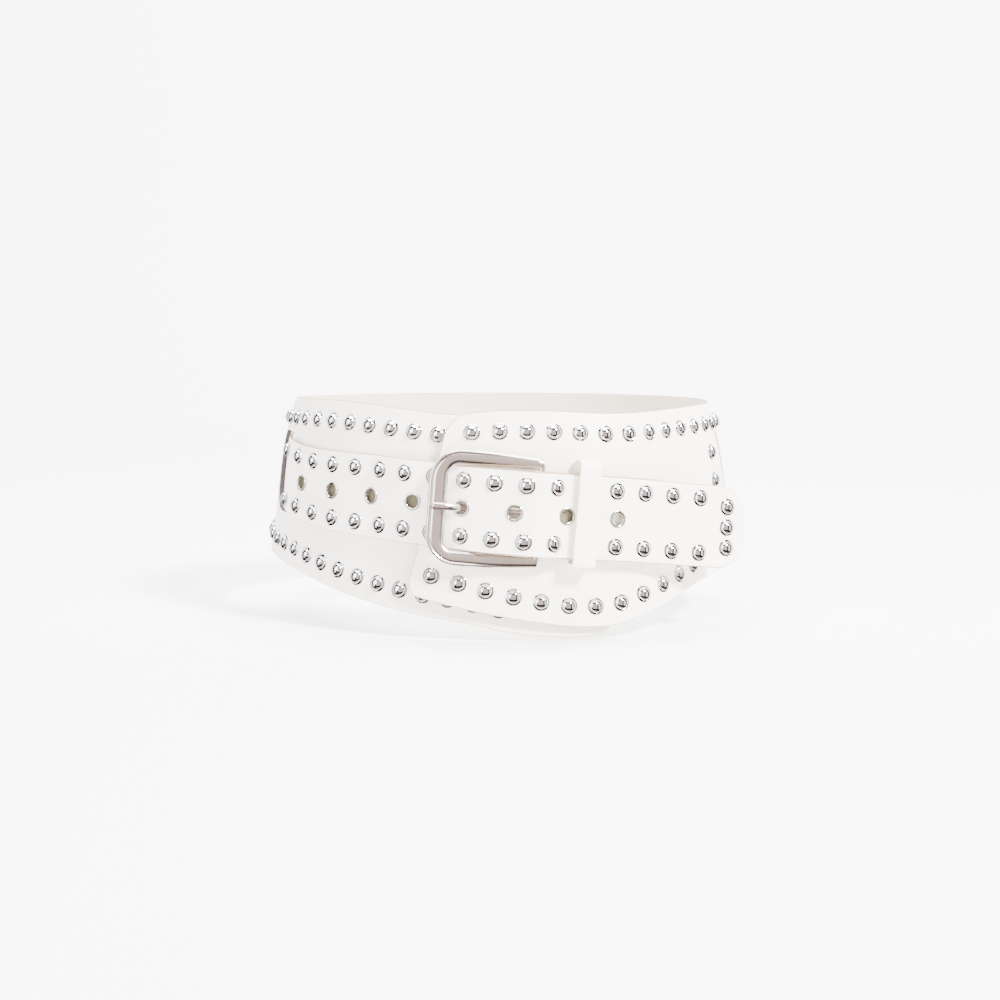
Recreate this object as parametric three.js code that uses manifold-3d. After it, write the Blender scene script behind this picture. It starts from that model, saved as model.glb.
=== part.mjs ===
// Wide studded waist belt, fastened: a wide leather band that laps over itself at the front,
// a narrower strap that comes out of a slot in the band and crosses the front, and a buckle on
// a short strap of its own with a keeper loop. Millimetres, +Z up, front towards -Y.
// The origin is the middle of the waist that the belt goes round.
import * as THREE from 'three';
import { mergeVertices } from 'three/addons/utils/BufferGeometryUtils.js';
import Module from 'manifold-3d';

const wasm = await Module();
wasm.setup();

// Waist that the belt goes round
const waistHalfWidth = 113.5;
const waistFrontDepth = 102.2;
const waistBackDepth = 78;

// Wide band
const bandHeight = 104;
const bandThickness = 2;
const underEndAngle = 25;
const overEndAngle = -17.2;
const overEndLean = 8.3;
const underCornerRadius = 6;
const overTopCornerRadius = 10;
const overBottomCornerRadius = 6;

// Studs
const studRadius = 4;
const studHeight = 2.2;
const studSink = 0.8;
const studClearance = 0.4;
const bandStudInset = 9.7;
const lowerRightStudPitch = 13.4;
const upperLeftStudPitch = 12.6;
const lowerLeftStudPitch = 12.4;
const upperRightStudPitch = 13.1;
const underTopStudTurn = 2.9;
const underBottomStudTurn = 0.7;
const overTopStudBack = 10;
const overBottomStudBack = 1.6;
const columnStudAngle = 68.3;
const columnStudPitch = 13.9;
const columnStudCount = 3;

// Strap
const strapWidth = 39.2;
const strapThickness = 2;
const strapStudRowGap = 26;
const strapStudPitch = 15.1;
const slotSideStudPitch = 14.75;
const strapTipLength = 10.4;
const strapTipCornerRadius = 14;
const tipStudPitch = 9.8;
const strapTabLength = 46;
const strapStationStep = 6.5;
const slotAngle = -73.8;
const slotWidth = 27.7;
const slotMargin = 1.8;
const slotDiveMargin = 2.4;
const diveLength = 15.6;
const rightSlotAngle = 80;
const rightSlotWidth = 3;

// Eyelets
const eyeletPitch = 25.4;
const slotSideEyeletPitch = 24.5;
const eyeletHoleRadius = 2.9;
const eyeletFlangeRadius = 4.2;
const eyeletBarrelWall = 0.4;
const eyeletFlangeHeight = 0.6;
const eyeletCount = 8;
const eyeletSides = 8;
const eyeletsBehindProng = 4;

// Buckle
const barAngle = 8;
const frameLength = 47.8;
const frameBarWidth = 8.8;
const frameArmWidth = 7;
const frameArmEndWidth = 5.2;
const frameThickness = 3.4;
const frameInnerRadius = 5;
const frameOuterRadius = 15;
const frameArmOverrun = 0.4;
const frameRise = 0.8;
const hingeBarRadius = 1.5;
const prongWidth = 3.4;
const prongThickness = 2.1;
const prongEyeWidth = 4.6;
const prongReach = 14.4;
const prongEyeWall = 1.5;
const prongRootShare = 0.3;
const prongFloorGap = 0.5;
const prongLapLength = 9;
const prongBendLength = 3.4;
const prongClimbLength = 2.4;
const prongClimbHeight = 2.2;
const prongTipInset = 1.9;
const prongTipDrop = 0.2;
const buckleStrapEndAngle = 41;
const flapLength = 13;
const buckleStrapCornerRadius = 5;
const keeperAngle = 17.9;
const keeperLean = 2;
const keeperRise = 1.8;
const keeperWidth = 10.5;
const keeperThickness = 1.4;
const keeperHeight = 50;
const keeperLevelHalfAngle = 3.2;
const settleAngle = 6.8;
const keeperCornerRadius = 3;

// Fits
const restGap = 0.4;
const looseGap = 0.5;
const eyeletGap = 0.5;
const studGap = 0.6;
const layerGap = 0.7;

// Widening of the waist with height: height above the origin as a share of the band's height,
// and width as a share of waistHalfWidth.
const flareTable = [
  { height: -0.577, width: 1.11 },
  { height: -0.346, width: 1.06 },
  { height: -0.221, width: 1.037 },
  { height: -0.048, width: 1.013 },
  { height: 0.096, width: 0.998 },
  { height: 0.298, width: 0.971 },
  { height: 0.423, width: 0.944 },
  { height: 0.538, width: 0.909 },
];

// Edges of the band as shares of its height, along its turn in degrees: 0 is the front, and
// the turn grows towards -X, round the back and on to the lapped end.
const edgeTable = [
  { turn: -25, top: 0.486, bottom: -0.486 },
  { turn: -17, top: 0.488, bottom: -0.506 },
  { turn: -4, top: 0.49, bottom: -0.487 },
  { turn: 9, top: 0.493, bottom: -0.437 },
  { turn: 17, top: 0.498, bottom: -0.415 },
  { turn: 26, top: 0.514, bottom: -0.386 },
  { turn: 43, top: 0.536, bottom: -0.323 },
  { turn: 56, top: 0.538, bottom: -0.276 },
  { turn: 68, top: 0.532, bottom: -0.249 },
  { turn: 90, top: 0.518, bottom: -0.222 },
  { turn: 130, top: 0.5, bottom: -0.202 },
  { turn: 180, top: 0.495, bottom: -0.197 },
  { turn: 230, top: 0.497, bottom: -0.205 },
  { turn: 270, top: 0.5, bottom: -0.24 },
  { turn: 292, top: 0.502, bottom: -0.28 },
  { turn: 307, top: 0.5, bottom: -0.314 },
  { turn: 317, top: 0.497, bottom: -0.362 },
  { turn: 328, top: 0.495, bottom: -0.421 },
  { turn: 335.5, top: 0.499, bottom: -0.455 },
  { turn: 343, top: 0.508, bottom: -0.455 },
  { turn: 350, top: 0.514, bottom: -0.438 },
  { turn: 362.5, top: 0.516, bottom: -0.385 },
  { turn: 369, top: 0.508, bottom: -0.352 },
  { turn: 378, top: 0.49, bottom: -0.307 },
];
const lapStartTurn = 306;
const lapFullTurn = 332;
const leanStartTurn = 345;

// Middle line of the strap: height as a share of the band's height, by angle from the front.
const strapLineTable = [
  { angle: -110, height: 0.185 },
  { angle: -76, height: 0.178 },
  { angle: -67, height: 0.167 },
  { angle: -56.7, height: 0.142 },
  { angle: -44.6, height: 0.126 },
  { angle: -32.6, height: 0.117 },
  { angle: -20.6, height: 0.106 },
  { angle: -9.5, height: 0.087 },
  { angle: 3, height: 0.069 },
  { angle: 8, height: 0.061 },
  { angle: 15, height: 0.047 },
  { angle: 27, height: 0.024 },
  { angle: 41, height: -0.008 },
];

// Lean of the strap's cross lines towards the slot, in degrees, by angle from the front
const strapLeanTable = [
  { angle: -76, lean: 19 },
  { angle: -66, lean: 17 },
  { angle: -45, lean: 8.4 },
  { angle: -30, lean: 5.5 },
  { angle: -10, lean: 2 },
  { angle: 3, lean: 0 },
];
const strapLeaveAngle = 27;
const strapLeaveFall = 0.12;

// Rise of the strap off the lap between the frame and the hinge bar
const strapSagAtLap = 0.3;
const strapRiseAtFrame = 0.1;
const strapRiseAtProng = 1.9;
const strapRisePastProng = 2.9;
const strapRiseNearMiddle = 4.4;
const strapRisePastMiddle = 6.2;

// Outline of a slot: half height as a share, from its front lip (-1) to its curved back lip (1)
const slotOutline = [
  { across: -1, half: 0.94 },
  { across: -0.8, half: 1 },
  { across: 0.3, half: 1 },
  { across: 0.65, half: 0.92 },
  { across: 0.88, half: 0.72 },
  { across: 1, half: 0.46 },
];

// Width that the strap loses towards the slot, as a share
const strapNarrowing = 0.07;

const degrees = Math.PI / 180;

// Sizes worked out from the ones above
const lapLift = bandThickness + studHeight + studClearance;
const lapTop = lapLift + bandThickness;
const halfStrap = strapThickness / 2;
const strapOnBand = bandThickness + restGap + halfStrap;
const strapOnLap = lapTop + restGap + halfStrap;
const strapInside = -restGap - halfStrap;
const foldRadius = hingeBarRadius + restGap + halfStrap;
const barLift = lapTop + restGap + halfStrap + foldRadius;
const frameLift = lapTop + 3 * restGap + strapThickness + studHeight + frameRise + frameThickness / 2;
const buckleStrapAtKeeper = lapTop + restGap + keeperThickness + looseGap + halfStrap;
const strapAtKeeper = buckleStrapAtKeeper + strapThickness + layerGap;
const strapAtBar = barLift + foldRadius + strapThickness + layerGap;

// Smooth reading of a table whose rows are in rising order of keyColumn
function readTable(rows, keyColumn, valueColumn, at) {
  const last = rows.length - 1;
  if (at <= rows[0][keyColumn]) return rows[0][valueColumn];
  if (at >= rows[last][keyColumn]) return rows[last][valueColumn];
  let row = 0;
  while (rows[row + 1][keyColumn] < at) row += 1;
  const slopeAt = (index) => {
    const before = rows[Math.max(index - 1, 0)];
    const after = rows[Math.min(index + 1, last)];
    return (after[valueColumn] - before[valueColumn]) / (after[keyColumn] - before[keyColumn]);
  };
  const span = rows[row + 1][keyColumn] - rows[row][keyColumn];
  const part = (at - rows[row][keyColumn]) / span;
  const square = part * part;
  const cube = square * part;
  return (
    (2 * cube - 3 * square + 1) * rows[row][valueColumn] +
    (cube - 2 * square + part) * span * slopeAt(row) +
    (3 * square - 2 * cube) * rows[row + 1][valueColumn] +
    (cube - square) * span * slopeAt(row + 1)
  );
}

// Point on the waist at an angle from the front (towards +X), a height and a distance outwards
function onWaist(angle, height, lift) {
  const share = readTable(flareTable, 'height', 'width', height / bandHeight);
  const sine = Math.sin(angle * degrees);
  const cosine = Math.cos(angle * degrees);
  const halfWidth = waistHalfWidth * share;
  const depth = (cosine > 0 ? waistFrontDepth : waistBackDepth) * share;
  const outward = new THREE.Vector2(depth * sine, -halfWidth * cosine).normalize();
  return new THREE.Vector3(
    halfWidth * sine + lift * outward.x,
    -depth * cosine + lift * outward.y,
    height
  );
}

// Directions on the waist at an angle and a height: along (towards +X at the front), up and out
function axesAt(angle, height, lift, tilt) {
  const flat = onWaist(angle + 0.5, height, lift).sub(onWaist(angle - 0.5, height, lift)).normalize();
  const rise = onWaist(angle, height + 5, lift).sub(onWaist(angle, height - 5, lift)).normalize();
  const out = new THREE.Vector3().crossVectors(flat, rise).normalize();
  const along = flat.clone().applyAxisAngle(out, -tilt);
  const up = new THREE.Vector3().crossVectors(out, along).normalize();
  return { along, up, out };
}

function millimetresPerDegree(angle, height, lift) {
  return onWaist(angle + 0.5, height, lift).distanceTo(onWaist(angle - 0.5, height, lift));
}

// Height that a rounded corner takes off an edge at a distance from the end
function cornerDrop(distance, radius) {
  if (distance >= radius) return 0;
  const left = radius - distance;
  return radius - Math.sqrt(Math.max(radius * radius - left * left, 0));
}

// Distances from an end that follow a rounded corner
function cornerSteps(radius, count) {
  const steps = [];
  for (let step = 0; step <= count; step += 1) {
    steps.push(radius * (1 - Math.cos((step / count) * Math.PI * 0.5)));
  }
  return steps;
}

// Closed wall between two grids of points: outer and inner, both [station][level].
// Stations run towards -X at the front and levels run up, so that the outer faces point out.
function wallGeometry(outer, inner) {
  const stations = outer.length;
  const levels = outer[0].length;
  const positions = [];
  const indices = [];
  for (const grid of [outer, inner]) {
    for (const row of grid) row.forEach((point) => positions.push(point.x, point.y, point.z));
  }
  const at = (side, station, level) => side * stations * levels + station * levels + level;
  const quad = (a, b, c, d) => indices.push(a, b, c, a, c, d);
  for (let i = 0; i < stations - 1; i += 1) {
    for (let j = 0; j < levels - 1; j += 1) {
      quad(at(0, i, j), at(0, i, j + 1), at(0, i + 1, j + 1), at(0, i + 1, j));
      quad(at(1, i, j), at(1, i + 1, j), at(1, i + 1, j + 1), at(1, i, j + 1));
    }
    const top = levels - 1;
    quad(at(0, i, top), at(1, i, top), at(1, i + 1, top), at(0, i + 1, top));
    quad(at(0, i, 0), at(0, i + 1, 0), at(1, i + 1, 0), at(1, i, 0));
  }
  for (let j = 0; j < levels - 1; j += 1) {
    const end = stations - 1;
    quad(at(0, 0, j), at(1, 0, j), at(1, 0, j + 1), at(0, 0, j + 1));
    quad(at(0, end, j), at(0, end, j + 1), at(1, end, j + 1), at(1, end, j));
  }
  const geometry = new THREE.BufferGeometry();
  geometry.setAttribute('position', new THREE.Float32BufferAttribute(positions, 3));
  geometry.setIndex(indices);
  return geometry;
}

// Closed bar through a row of rings of points, each ring the same way round
function barGeometry(rings) {
  const sides = rings[0].length;
  const positions = [];
  const indices = [];
  rings.forEach((ring) => ring.forEach((point) => positions.push(point.x, point.y, point.z)));
  for (let i = 0; i < rings.length - 1; i += 1) {
    for (let j = 0; j < sides; j += 1) {
      const next = (j + 1) % sides;
      const a = i * sides + j;
      const b = i * sides + next;
      indices.push(a, b, b + sides, a, b + sides, a + sides);
    }
  }
  const lastRing = (rings.length - 1) * sides;
  for (let j = 1; j < sides - 1; j += 1) {
    indices.push(0, j + 1, j);
    indices.push(lastRing, lastRing + j, lastRing + j + 1);
  }
  const geometry = new THREE.BufferGeometry();
  geometry.setAttribute('position', new THREE.Float32BufferAttribute(positions, 3));
  geometry.setIndex(indices);
  return geometry;
}

// A closed geometry as a solid that can be joined and cut
function solidFrom(geometry) {
  const bare = geometry.clone();
  bare.deleteAttribute('normal');
  bare.deleteAttribute('uv');
  const merged = mergeVertices(bare, 1e-4);
  return new wasm.Manifold(
    new wasm.Mesh({
      numProp: 3,
      vertProperties: new Float32Array(merged.attributes.position.array),
      triVerts: new Uint32Array(merged.index.array),
    })
  );
}

function geometryFrom(solid) {
  const mesh = solid.getMesh();
  const geometry = new THREE.BufferGeometry();
  geometry.setAttribute('position', new THREE.BufferAttribute(new Float32Array(mesh.vertProperties), 3));
  geometry.setIndex(new THREE.BufferAttribute(new Uint32Array(mesh.triVerts), 1));
  geometry.computeVertexNormals();
  return geometry;
}

// Matrix that takes local x, y, z to along, up and out at a point
function placeAt(point, axes) {
  const matrix = new THREE.Matrix4().makeBasis(axes.along, axes.up, axes.out);
  return matrix.setPosition(point);
}

// A turned profile of [radius, height] points, its axis along local z
function turned(points, sides) {
  const outline = points.map(([radius, height]) => new THREE.Vector2(radius, height));
  return new THREE.LatheGeometry(outline, sides).rotateX(Math.PI / 2);
}

function bandEdges(turn) {
  return {
    top: bandHeight * readTable(edgeTable, 'turn', 'top', turn),
    bottom: bandHeight * readTable(edgeTable, 'turn', 'bottom', turn),
  };
}

function bandLift(turn) {
  return lapLift * THREE.MathUtils.smoothstep(turn, lapStartTurn, lapFullTurn);
}

const bandStartTurn = -underEndAngle;
const bandEndTurn = 360 - overEndAngle;
const frontPerDegree = millimetresPerDegree(0, 0, 0);

// The band's stations: close together round the corners, even between them
function bandTurns() {
  const steps = 54;
  const startCorner = cornerSteps(underCornerRadius, 3).map((step) => bandStartTurn + step / frontPerDegree);
  const endCorner = cornerSteps(overTopCornerRadius, 4)
    .map((step) => bandEndTurn - step / frontPerDegree)
    .reverse();
  const first = startCorner[startCorner.length - 1];
  const last = endCorner[0];
  const between = [];
  for (let step = 1; step < steps; step += 1) between.push(first + ((last - first) * step) / steps);
  return [...startCorner, ...between, ...endCorner];
}

function bandPoint(turn, share, height) {
  const edges = bandEdges(turn);
  const fromStart = (turn - bandStartTurn) * frontPerDegree;
  const fromEnd = (bandEndTurn - turn) * frontPerDegree;
  const startDrop = cornerDrop(fromStart, underCornerRadius);
  const top = edges.top - startDrop - cornerDrop(fromEnd, overTopCornerRadius);
  const bottom = edges.bottom + startDrop + cornerDrop(fromEnd, overBottomCornerRadius);
  const level = bottom + (top - bottom) * share;
  const middle = (edges.top + edges.bottom) / 2;
  const leaning = THREE.MathUtils.smoothstep(turn, leanStartTurn, bandEndTurn);
  const leanTurn = (leaning * overEndLean * (level - middle)) / (edges.top - edges.bottom);
  return onWaist(leanTurn - turn, level, bandLift(turn) + height);
}

function bandWall() {
  const shares = [0, 0.2, 0.4, 0.6, 0.8, 1];
  const turns = bandTurns();
  const outer = turns.map((turn) => shares.map((share) => bandPoint(turn, share, bandThickness)));
  const inner = turns.map((turn) => shares.map((share) => bandPoint(turn, share, 0)));
  return solidFrom(wallGeometry(outer, inner));
}

// A slot cutter: a wall that follows the waist through the band, its back lip curved
function slotCutter(angle, width, middle, height) {
  const reach = bandThickness;
  const perDegree = millimetresPerDegree(angle, middle, 0);
  const backwards = (Math.sign(angle) * width) / 2 / perDegree;
  const lean = Math.tan(strapLean(slotAngle)) / perDegree;
  const rows = [-1, -0.5, 0, 0.5, 1];
  const columns = angle < 0 ? slotOutline : [...slotOutline].reverse();
  const grid = (lift) =>
    columns.map((column) =>
      rows.map((row) => {
        const rise = (row * column.half * height) / 2;
        return onWaist(angle + column.across * backwards + rise * lean, middle + rise, lift);
      })
    );
  return solidFrom(wallGeometry(grid(bandThickness + reach), grid(-reach)));
}

// A stud on the band, sunk a little into the leather
function bandStud(angle, height, lift) {
  const shape = turned(
    [
      [0, -studSink],
      [studRadius, -studSink],
      [studRadius * 0.62, studHeight * 0.8],
      [0, studHeight],
    ],
    8
  );
  shape.applyMatrix4(placeAt(onWaist(angle, height, lift), axesAt(angle, height, lift, 0)));
  return solidFrom(shape);
}

// A row of studs from a start turn to the middle of the back, evenly spaced
function studRow(startTurn, endTurn, edge, pitch) {
  const direction = Math.sign(endTurn - startTurn);
  const place = (turn) => {
    const edges = bandEdges(turn);
    const height = edge === 'top' ? edges.top - bandStudInset : edges.bottom + bandStudInset;
    return { angle: -turn, height, lift: bandLift(turn) + bandThickness };
  };
  const pointAt = (turn) => {
    const seat = place(turn);
    return onWaist(seat.angle, seat.height, seat.lift);
  };
  const walk = [{ turn: startTurn, run: 0 }];
  let point = pointAt(startTurn);
  for (let turn = startTurn; (endTurn - turn) * direction > 0; turn += direction * 0.5) {
    const next = pointAt(turn + direction * 0.5);
    walk.push({ turn: turn + direction * 0.5, run: walk[walk.length - 1].run + next.distanceTo(point) });
    point = next;
  }
  const length = walk[walk.length - 1].run;
  const count = Math.round(length / pitch - 0.5);
  const evenPitch = length / (count + 0.5);
  const seats = [];
  for (let index = 0; index <= count; index += 1) {
    const step = walk.find((entry) => entry.run >= index * evenPitch - 0.01);
    seats.push(place(step.turn));
  }
  return seats;
}

// Turns of the first stud of each row: left rows start under the lap, right rows at the free end
const backTurn = 180;
const studRows = [
  { start: underTopStudTurn, edge: 'top', pitch: upperLeftStudPitch },
  { start: underBottomStudTurn, edge: 'bottom', pitch: lowerLeftStudPitch },
  { start: bandEndTurn - overTopStudBack, edge: 'top', pitch: upperRightStudPitch },
  { start: bandEndTurn - overBottomStudBack, edge: 'bottom', pitch: lowerRightStudPitch },
];

function columnStuds() {
  const turn = 360 - columnStudAngle;
  const top = bandEdges(turn).top - bandStudInset;
  const seats = [];
  for (let index = 1; index <= columnStudCount; index += 1) {
    seats.push({ angle: columnStudAngle, height: top - index * columnStudPitch, lift: bandThickness });
  }
  return seats;
}

function wideBand() {
  const middle = strapHeight(slotAngle);
  const slotHeight = strapWidthAt(slotAngle) + 2 * slotMargin;
  let band = bandWall();
  band = band.subtract(slotCutter(slotAngle, slotWidth, middle, slotHeight));
  band = band.subtract(slotCutter(rightSlotAngle, rightSlotWidth, middle, slotHeight));
  const seats = studRows.flatMap((row) => studRow(row.start, backTurn, row.edge, row.pitch));
  for (const seat of [...seats, ...columnStuds()]) {
    band = band.add(bandStud(seat.angle, seat.height, seat.lift));
  }
  return geometryFrom(band);
}

// Lift of the short strap that holds the buckle, from the hinge bar to its sewn end
const slopeAngle = keeperAngle - keeperLevelHalfAngle - barAngle;
const slopeTop = barLift + foldRadius;
const slopeDrop = slopeTop - buckleStrapAtKeeper;
const buckleStrapTable = [
  { angle: barAngle, lift: slopeTop },
  { angle: barAngle + 0.15 * slopeAngle, lift: slopeTop - 0.05 * slopeDrop },
  { angle: barAngle + 0.4 * slopeAngle, lift: slopeTop - 0.32 * slopeDrop },
  { angle: barAngle + 0.75 * slopeAngle, lift: slopeTop - 0.84 * slopeDrop },
  { angle: keeperAngle - keeperLevelHalfAngle, lift: buckleStrapAtKeeper },
];

function buckleStrapLift(angle) {
  const extra = bandLift(360 - angle);
  const levelEnd = keeperAngle + keeperLevelHalfAngle;
  if (angle <= levelEnd) return readTable(buckleStrapTable, 'angle', 'lift', angle);
  const ease = THREE.MathUtils.smoothstep(angle, levelEnd, levelEnd + settleAngle);
  const rest = extra + bandThickness + restGap + halfStrap;
  return buckleStrapAtKeeper * (1 - ease) + rest * ease;
}

// Strap: its middle line, its lift off the waist and its width by angle from the front
function strapHeight(angle) {
  return bandHeight * readTable(strapLineTable, 'angle', 'height', angle);
}

function strapWidthAt(angle) {
  return strapWidth * (1 - strapNarrowing * THREE.MathUtils.smoothstep(-angle, 30, 68));
}

const slotPerDegree = millimetresPerDegree(slotAngle, 0, 0);
const diveStartAngle = slotAngle + (slotWidth / 2 - slotDiveMargin) / slotPerDegree;
const diveEndAngle = diveStartAngle - diveLength / slotPerDegree;
const prongHoleAngle = barAngle - (frameLength - prongReach) / frontPerDegree;
const frameBarAngle = barAngle - frameLength / frontPerDegree;
const strapLiftTable = [
  { angle: -125, lift: strapInside },
  { angle: diveEndAngle - 1, lift: strapInside },
  { angle: diveEndAngle, lift: strapInside },
  { angle: diveStartAngle, lift: strapOnBand },
  { angle: diveStartAngle + 1, lift: strapOnBand },
  { angle: overEndAngle - 18, lift: strapOnBand },
  { angle: overEndAngle - 15, lift: strapOnBand },
  { angle: overEndAngle - 5, lift: strapOnLap - strapSagAtLap },
  { angle: overEndAngle - 3, lift: strapOnLap },
  { angle: frameBarAngle, lift: strapOnLap },
  { angle: frameBarAngle + 2, lift: strapOnLap + strapRiseAtFrame },
  { angle: prongHoleAngle, lift: strapOnLap + strapRiseAtProng },
  { angle: prongHoleAngle + 1.6, lift: strapOnLap + strapRisePastProng },
  { angle: prongHoleAngle + 5, lift: strapOnLap + strapRiseNearMiddle },
  { angle: (prongHoleAngle + barAngle) / 2 + 2, lift: strapOnLap + strapRisePastMiddle },
  { angle: barAngle - 1.6, lift: strapAtBar },
  { angle: barAngle, lift: strapAtBar },
];

function strapLift(angle) {
  if (angle <= barAngle) return readTable(strapLiftTable, 'angle', 'lift', angle);
  return buckleStrapLift(Math.min(angle, keeperAngle)) + strapThickness + layerGap;
}

// Run along the strap from the hinge bar, towards the tip positive, to angle and back
function marchStrap() {
  const step = 0.5;
  const rows = [];
  const pointAt = (angle) => onWaist(angle, strapHeight(angle), strapLift(angle));
  let run = 0;
  for (let angle = barAngle; angle < strapLeaveAngle; angle += step) {
    rows.push({ run, angle });
    run += pointAt(angle).distanceTo(pointAt(angle + step));
  }
  rows.push({ run, angle: strapLeaveAngle });
  run = 0;
  for (let angle = barAngle; angle > -122; angle -= step) {
    run -= pointAt(angle).distanceTo(pointAt(angle - step));
    rows.unshift({ run, angle: angle - step });
  }
  return rows;
}
const strapRows = marchStrap();
const strapLeaveRun = strapRows[strapRows.length - 1].run;

function angleAtRun(run) {
  return readTable(strapRows, 'run', 'angle', run);
}

function runAtAngle(angle) {
  return readTable(strapRows, 'angle', 'run', angle);
}

function strapTilt(angle) {
  const rise = strapHeight(angle + 2) - strapHeight(angle - 2);
  return -Math.atan(rise / (4 * millimetresPerDegree(angle, strapHeight(angle), strapLift(angle))));
}

// Angle of the strap's cross lines to the vertical
function strapLean(angle) {
  return strapTilt(angle) - degrees * readTable(strapLeanTable, 'angle', 'lean', angle);
}

// Point of the strap: run along it, distance across it (up positive) and height off its middle
function strapPoint(run, across, height) {
  const angle = angleAtRun(Math.min(run, strapLeaveRun));
  const tilt = strapTilt(angle);
  const level = strapHeight(angle) + across * Math.cos(tilt);
  const lean = strapLean(angle);
  const shift = (across * Math.sin(lean)) / millimetresPerDegree(angle, level, strapLift(angle));
  const point = onWaist(angle + shift, level, strapLift(angle) + height);
  if (run > strapLeaveRun) {
    const axes = axesAt(angle, strapHeight(angle), strapLift(angle), 0);
    const ahead = new THREE.Vector3(axes.along.x, axes.along.y, -strapLeaveFall).normalize();
    point.addScaledVector(ahead, run - strapLeaveRun);
  }
  return point;
}

function strapAxes(run) {
  const ahead = strapPoint(run + 1.5, 0, 0).sub(strapPoint(run - 1.5, 0, 0)).normalize();
  const rise = strapPoint(run, 6, 0).sub(strapPoint(run, -6, 0)).normalize();
  const out = new THREE.Vector3().crossVectors(ahead, rise).normalize();
  return { along: ahead, up: new THREE.Vector3().crossVectors(out, ahead), out };
}

const prongHoleRun = runAtAngle(prongHoleAngle);
const tipStudRun = prongHoleRun + 9 * strapStudPitch;
const strapTipRun = tipStudRun + strapTipLength;
const strapEndRun = runAtAngle(diveEndAngle) - strapTabLength;

// Wall that follows a row of stations, each a function of distance across and height
function ribbon(stations, thickness) {
  const shares = [-1, 0, 1];
  const grid = (height) =>
    stations.map((station) => shares.map((share) => station.point(share * station.halfWidth, height)));
  return solidFrom(wallGeometry(grid(thickness / 2), grid(-thickness / 2)));
}

function strapRuns() {
  const runs = cornerSteps(strapTipCornerRadius, 5).map((step) => strapTipRun - step);
  const length = runs[runs.length - 1] - strapEndRun;
  const count = Math.ceil(length / strapStationStep);
  for (let step = count - 1; step >= 0; step -= 1) runs.push(strapEndRun + (length * step) / count);
  return runs;
}

function beltStrap() {
  const stations = strapRuns().map((run) => {
    const half = strapWidthAt(angleAtRun(Math.min(run, strapLeaveRun))) / 2;
    return {
      halfWidth: half - cornerDrop(strapTipRun - run, strapTipCornerRadius),
      point: (across, height) => strapPoint(run, across, height),
    };
  });
  let strap = ribbon(stations, strapThickness);
  for (const run of eyeletRuns()) {
    const hole = new THREE.CylinderGeometry(
      eyeletHoleRadius + eyeletBarrelWall + restGap,
      eyeletHoleRadius + eyeletBarrelWall + restGap,
      3 * strapThickness,
      eyeletSides
    ).rotateX(Math.PI / 2);
    hole.applyMatrix4(placeAt(strapPoint(run, 0, 0), strapAxes(run)));
    strap = strap.subtract(solidFrom(hole));
  }
  return geometryFrom(strap);
}

function eyeletRuns() {
  const runs = [];
  for (let index = 0; index < eyeletCount; index += 1) {
    const place = index - eyeletsBehindProng;
    runs.push(prongHoleRun + place * (place < 0 ? slotSideEyeletPitch : eyeletPitch));
  }
  return runs;
}

function eyelet(run) {
  const barrel = eyeletHoleRadius + eyeletBarrelWall;
  const seat = halfStrap + eyeletGap;
  const shape = turned(
    [
      [eyeletHoleRadius, -halfStrap],
      [barrel, -halfStrap],
      [barrel, seat],
      [eyeletFlangeRadius, seat],
      [eyeletFlangeRadius, seat + eyeletFlangeHeight],
      [eyeletHoleRadius, seat + eyeletFlangeHeight],
      [eyeletHoleRadius, -halfStrap],
    ],
    eyeletSides
  );
  shape.applyMatrix4(placeAt(strapPoint(run, 0, 0), strapAxes(run)));
  return geometryFrom(solidFrom(shape));
}

function strapStud(run, across) {
  const shape = turned(
    [
      [0, 0],
      [studRadius, 0],
      [studRadius * 0.62, studHeight * 0.8],
      [0, studHeight],
    ],
    8
  );
  shape.applyMatrix4(placeAt(strapPoint(run, across, halfStrap + studGap), strapAxes(run)));
  return geometryFrom(solidFrom(shape));
}

// Buckle: a flat frame in local x (along), y (across) and z (out), its middle at the origin
const frameAngle = (barAngle + frameBarAngle) / 2;
function buckleAxes() {
  const barPoint = onWaist(barAngle, strapHeight(barAngle), barLift);
  const framePoint = onWaist(frameBarAngle, strapHeight(frameBarAngle), frameLift);
  const along = barPoint.clone().sub(framePoint).normalize();
  const guide = axesAt(frameAngle, strapHeight(frameAngle), barLift, 0);
  const out = new THREE.Vector3().crossVectors(along, guide.up).normalize();
  const up = new THREE.Vector3().crossVectors(out, along).normalize();
  return { along, up, out, bar: barPoint };
}
const buckle = buckleAxes();

// Point of the buckle: along from the hinge bar (towards the tip positive), across and out
function bucklePoint(along, across, out) {
  return buckle.bar
    .clone()
    .addScaledVector(buckle.along, along)
    .addScaledVector(buckle.up, across)
    .addScaledVector(buckle.out, out);
}

function alongBuckle(point) {
  const offset = point.clone().sub(buckle.bar);
  return { along: offset.dot(buckle.along), out: offset.dot(buckle.out) };
}

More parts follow.
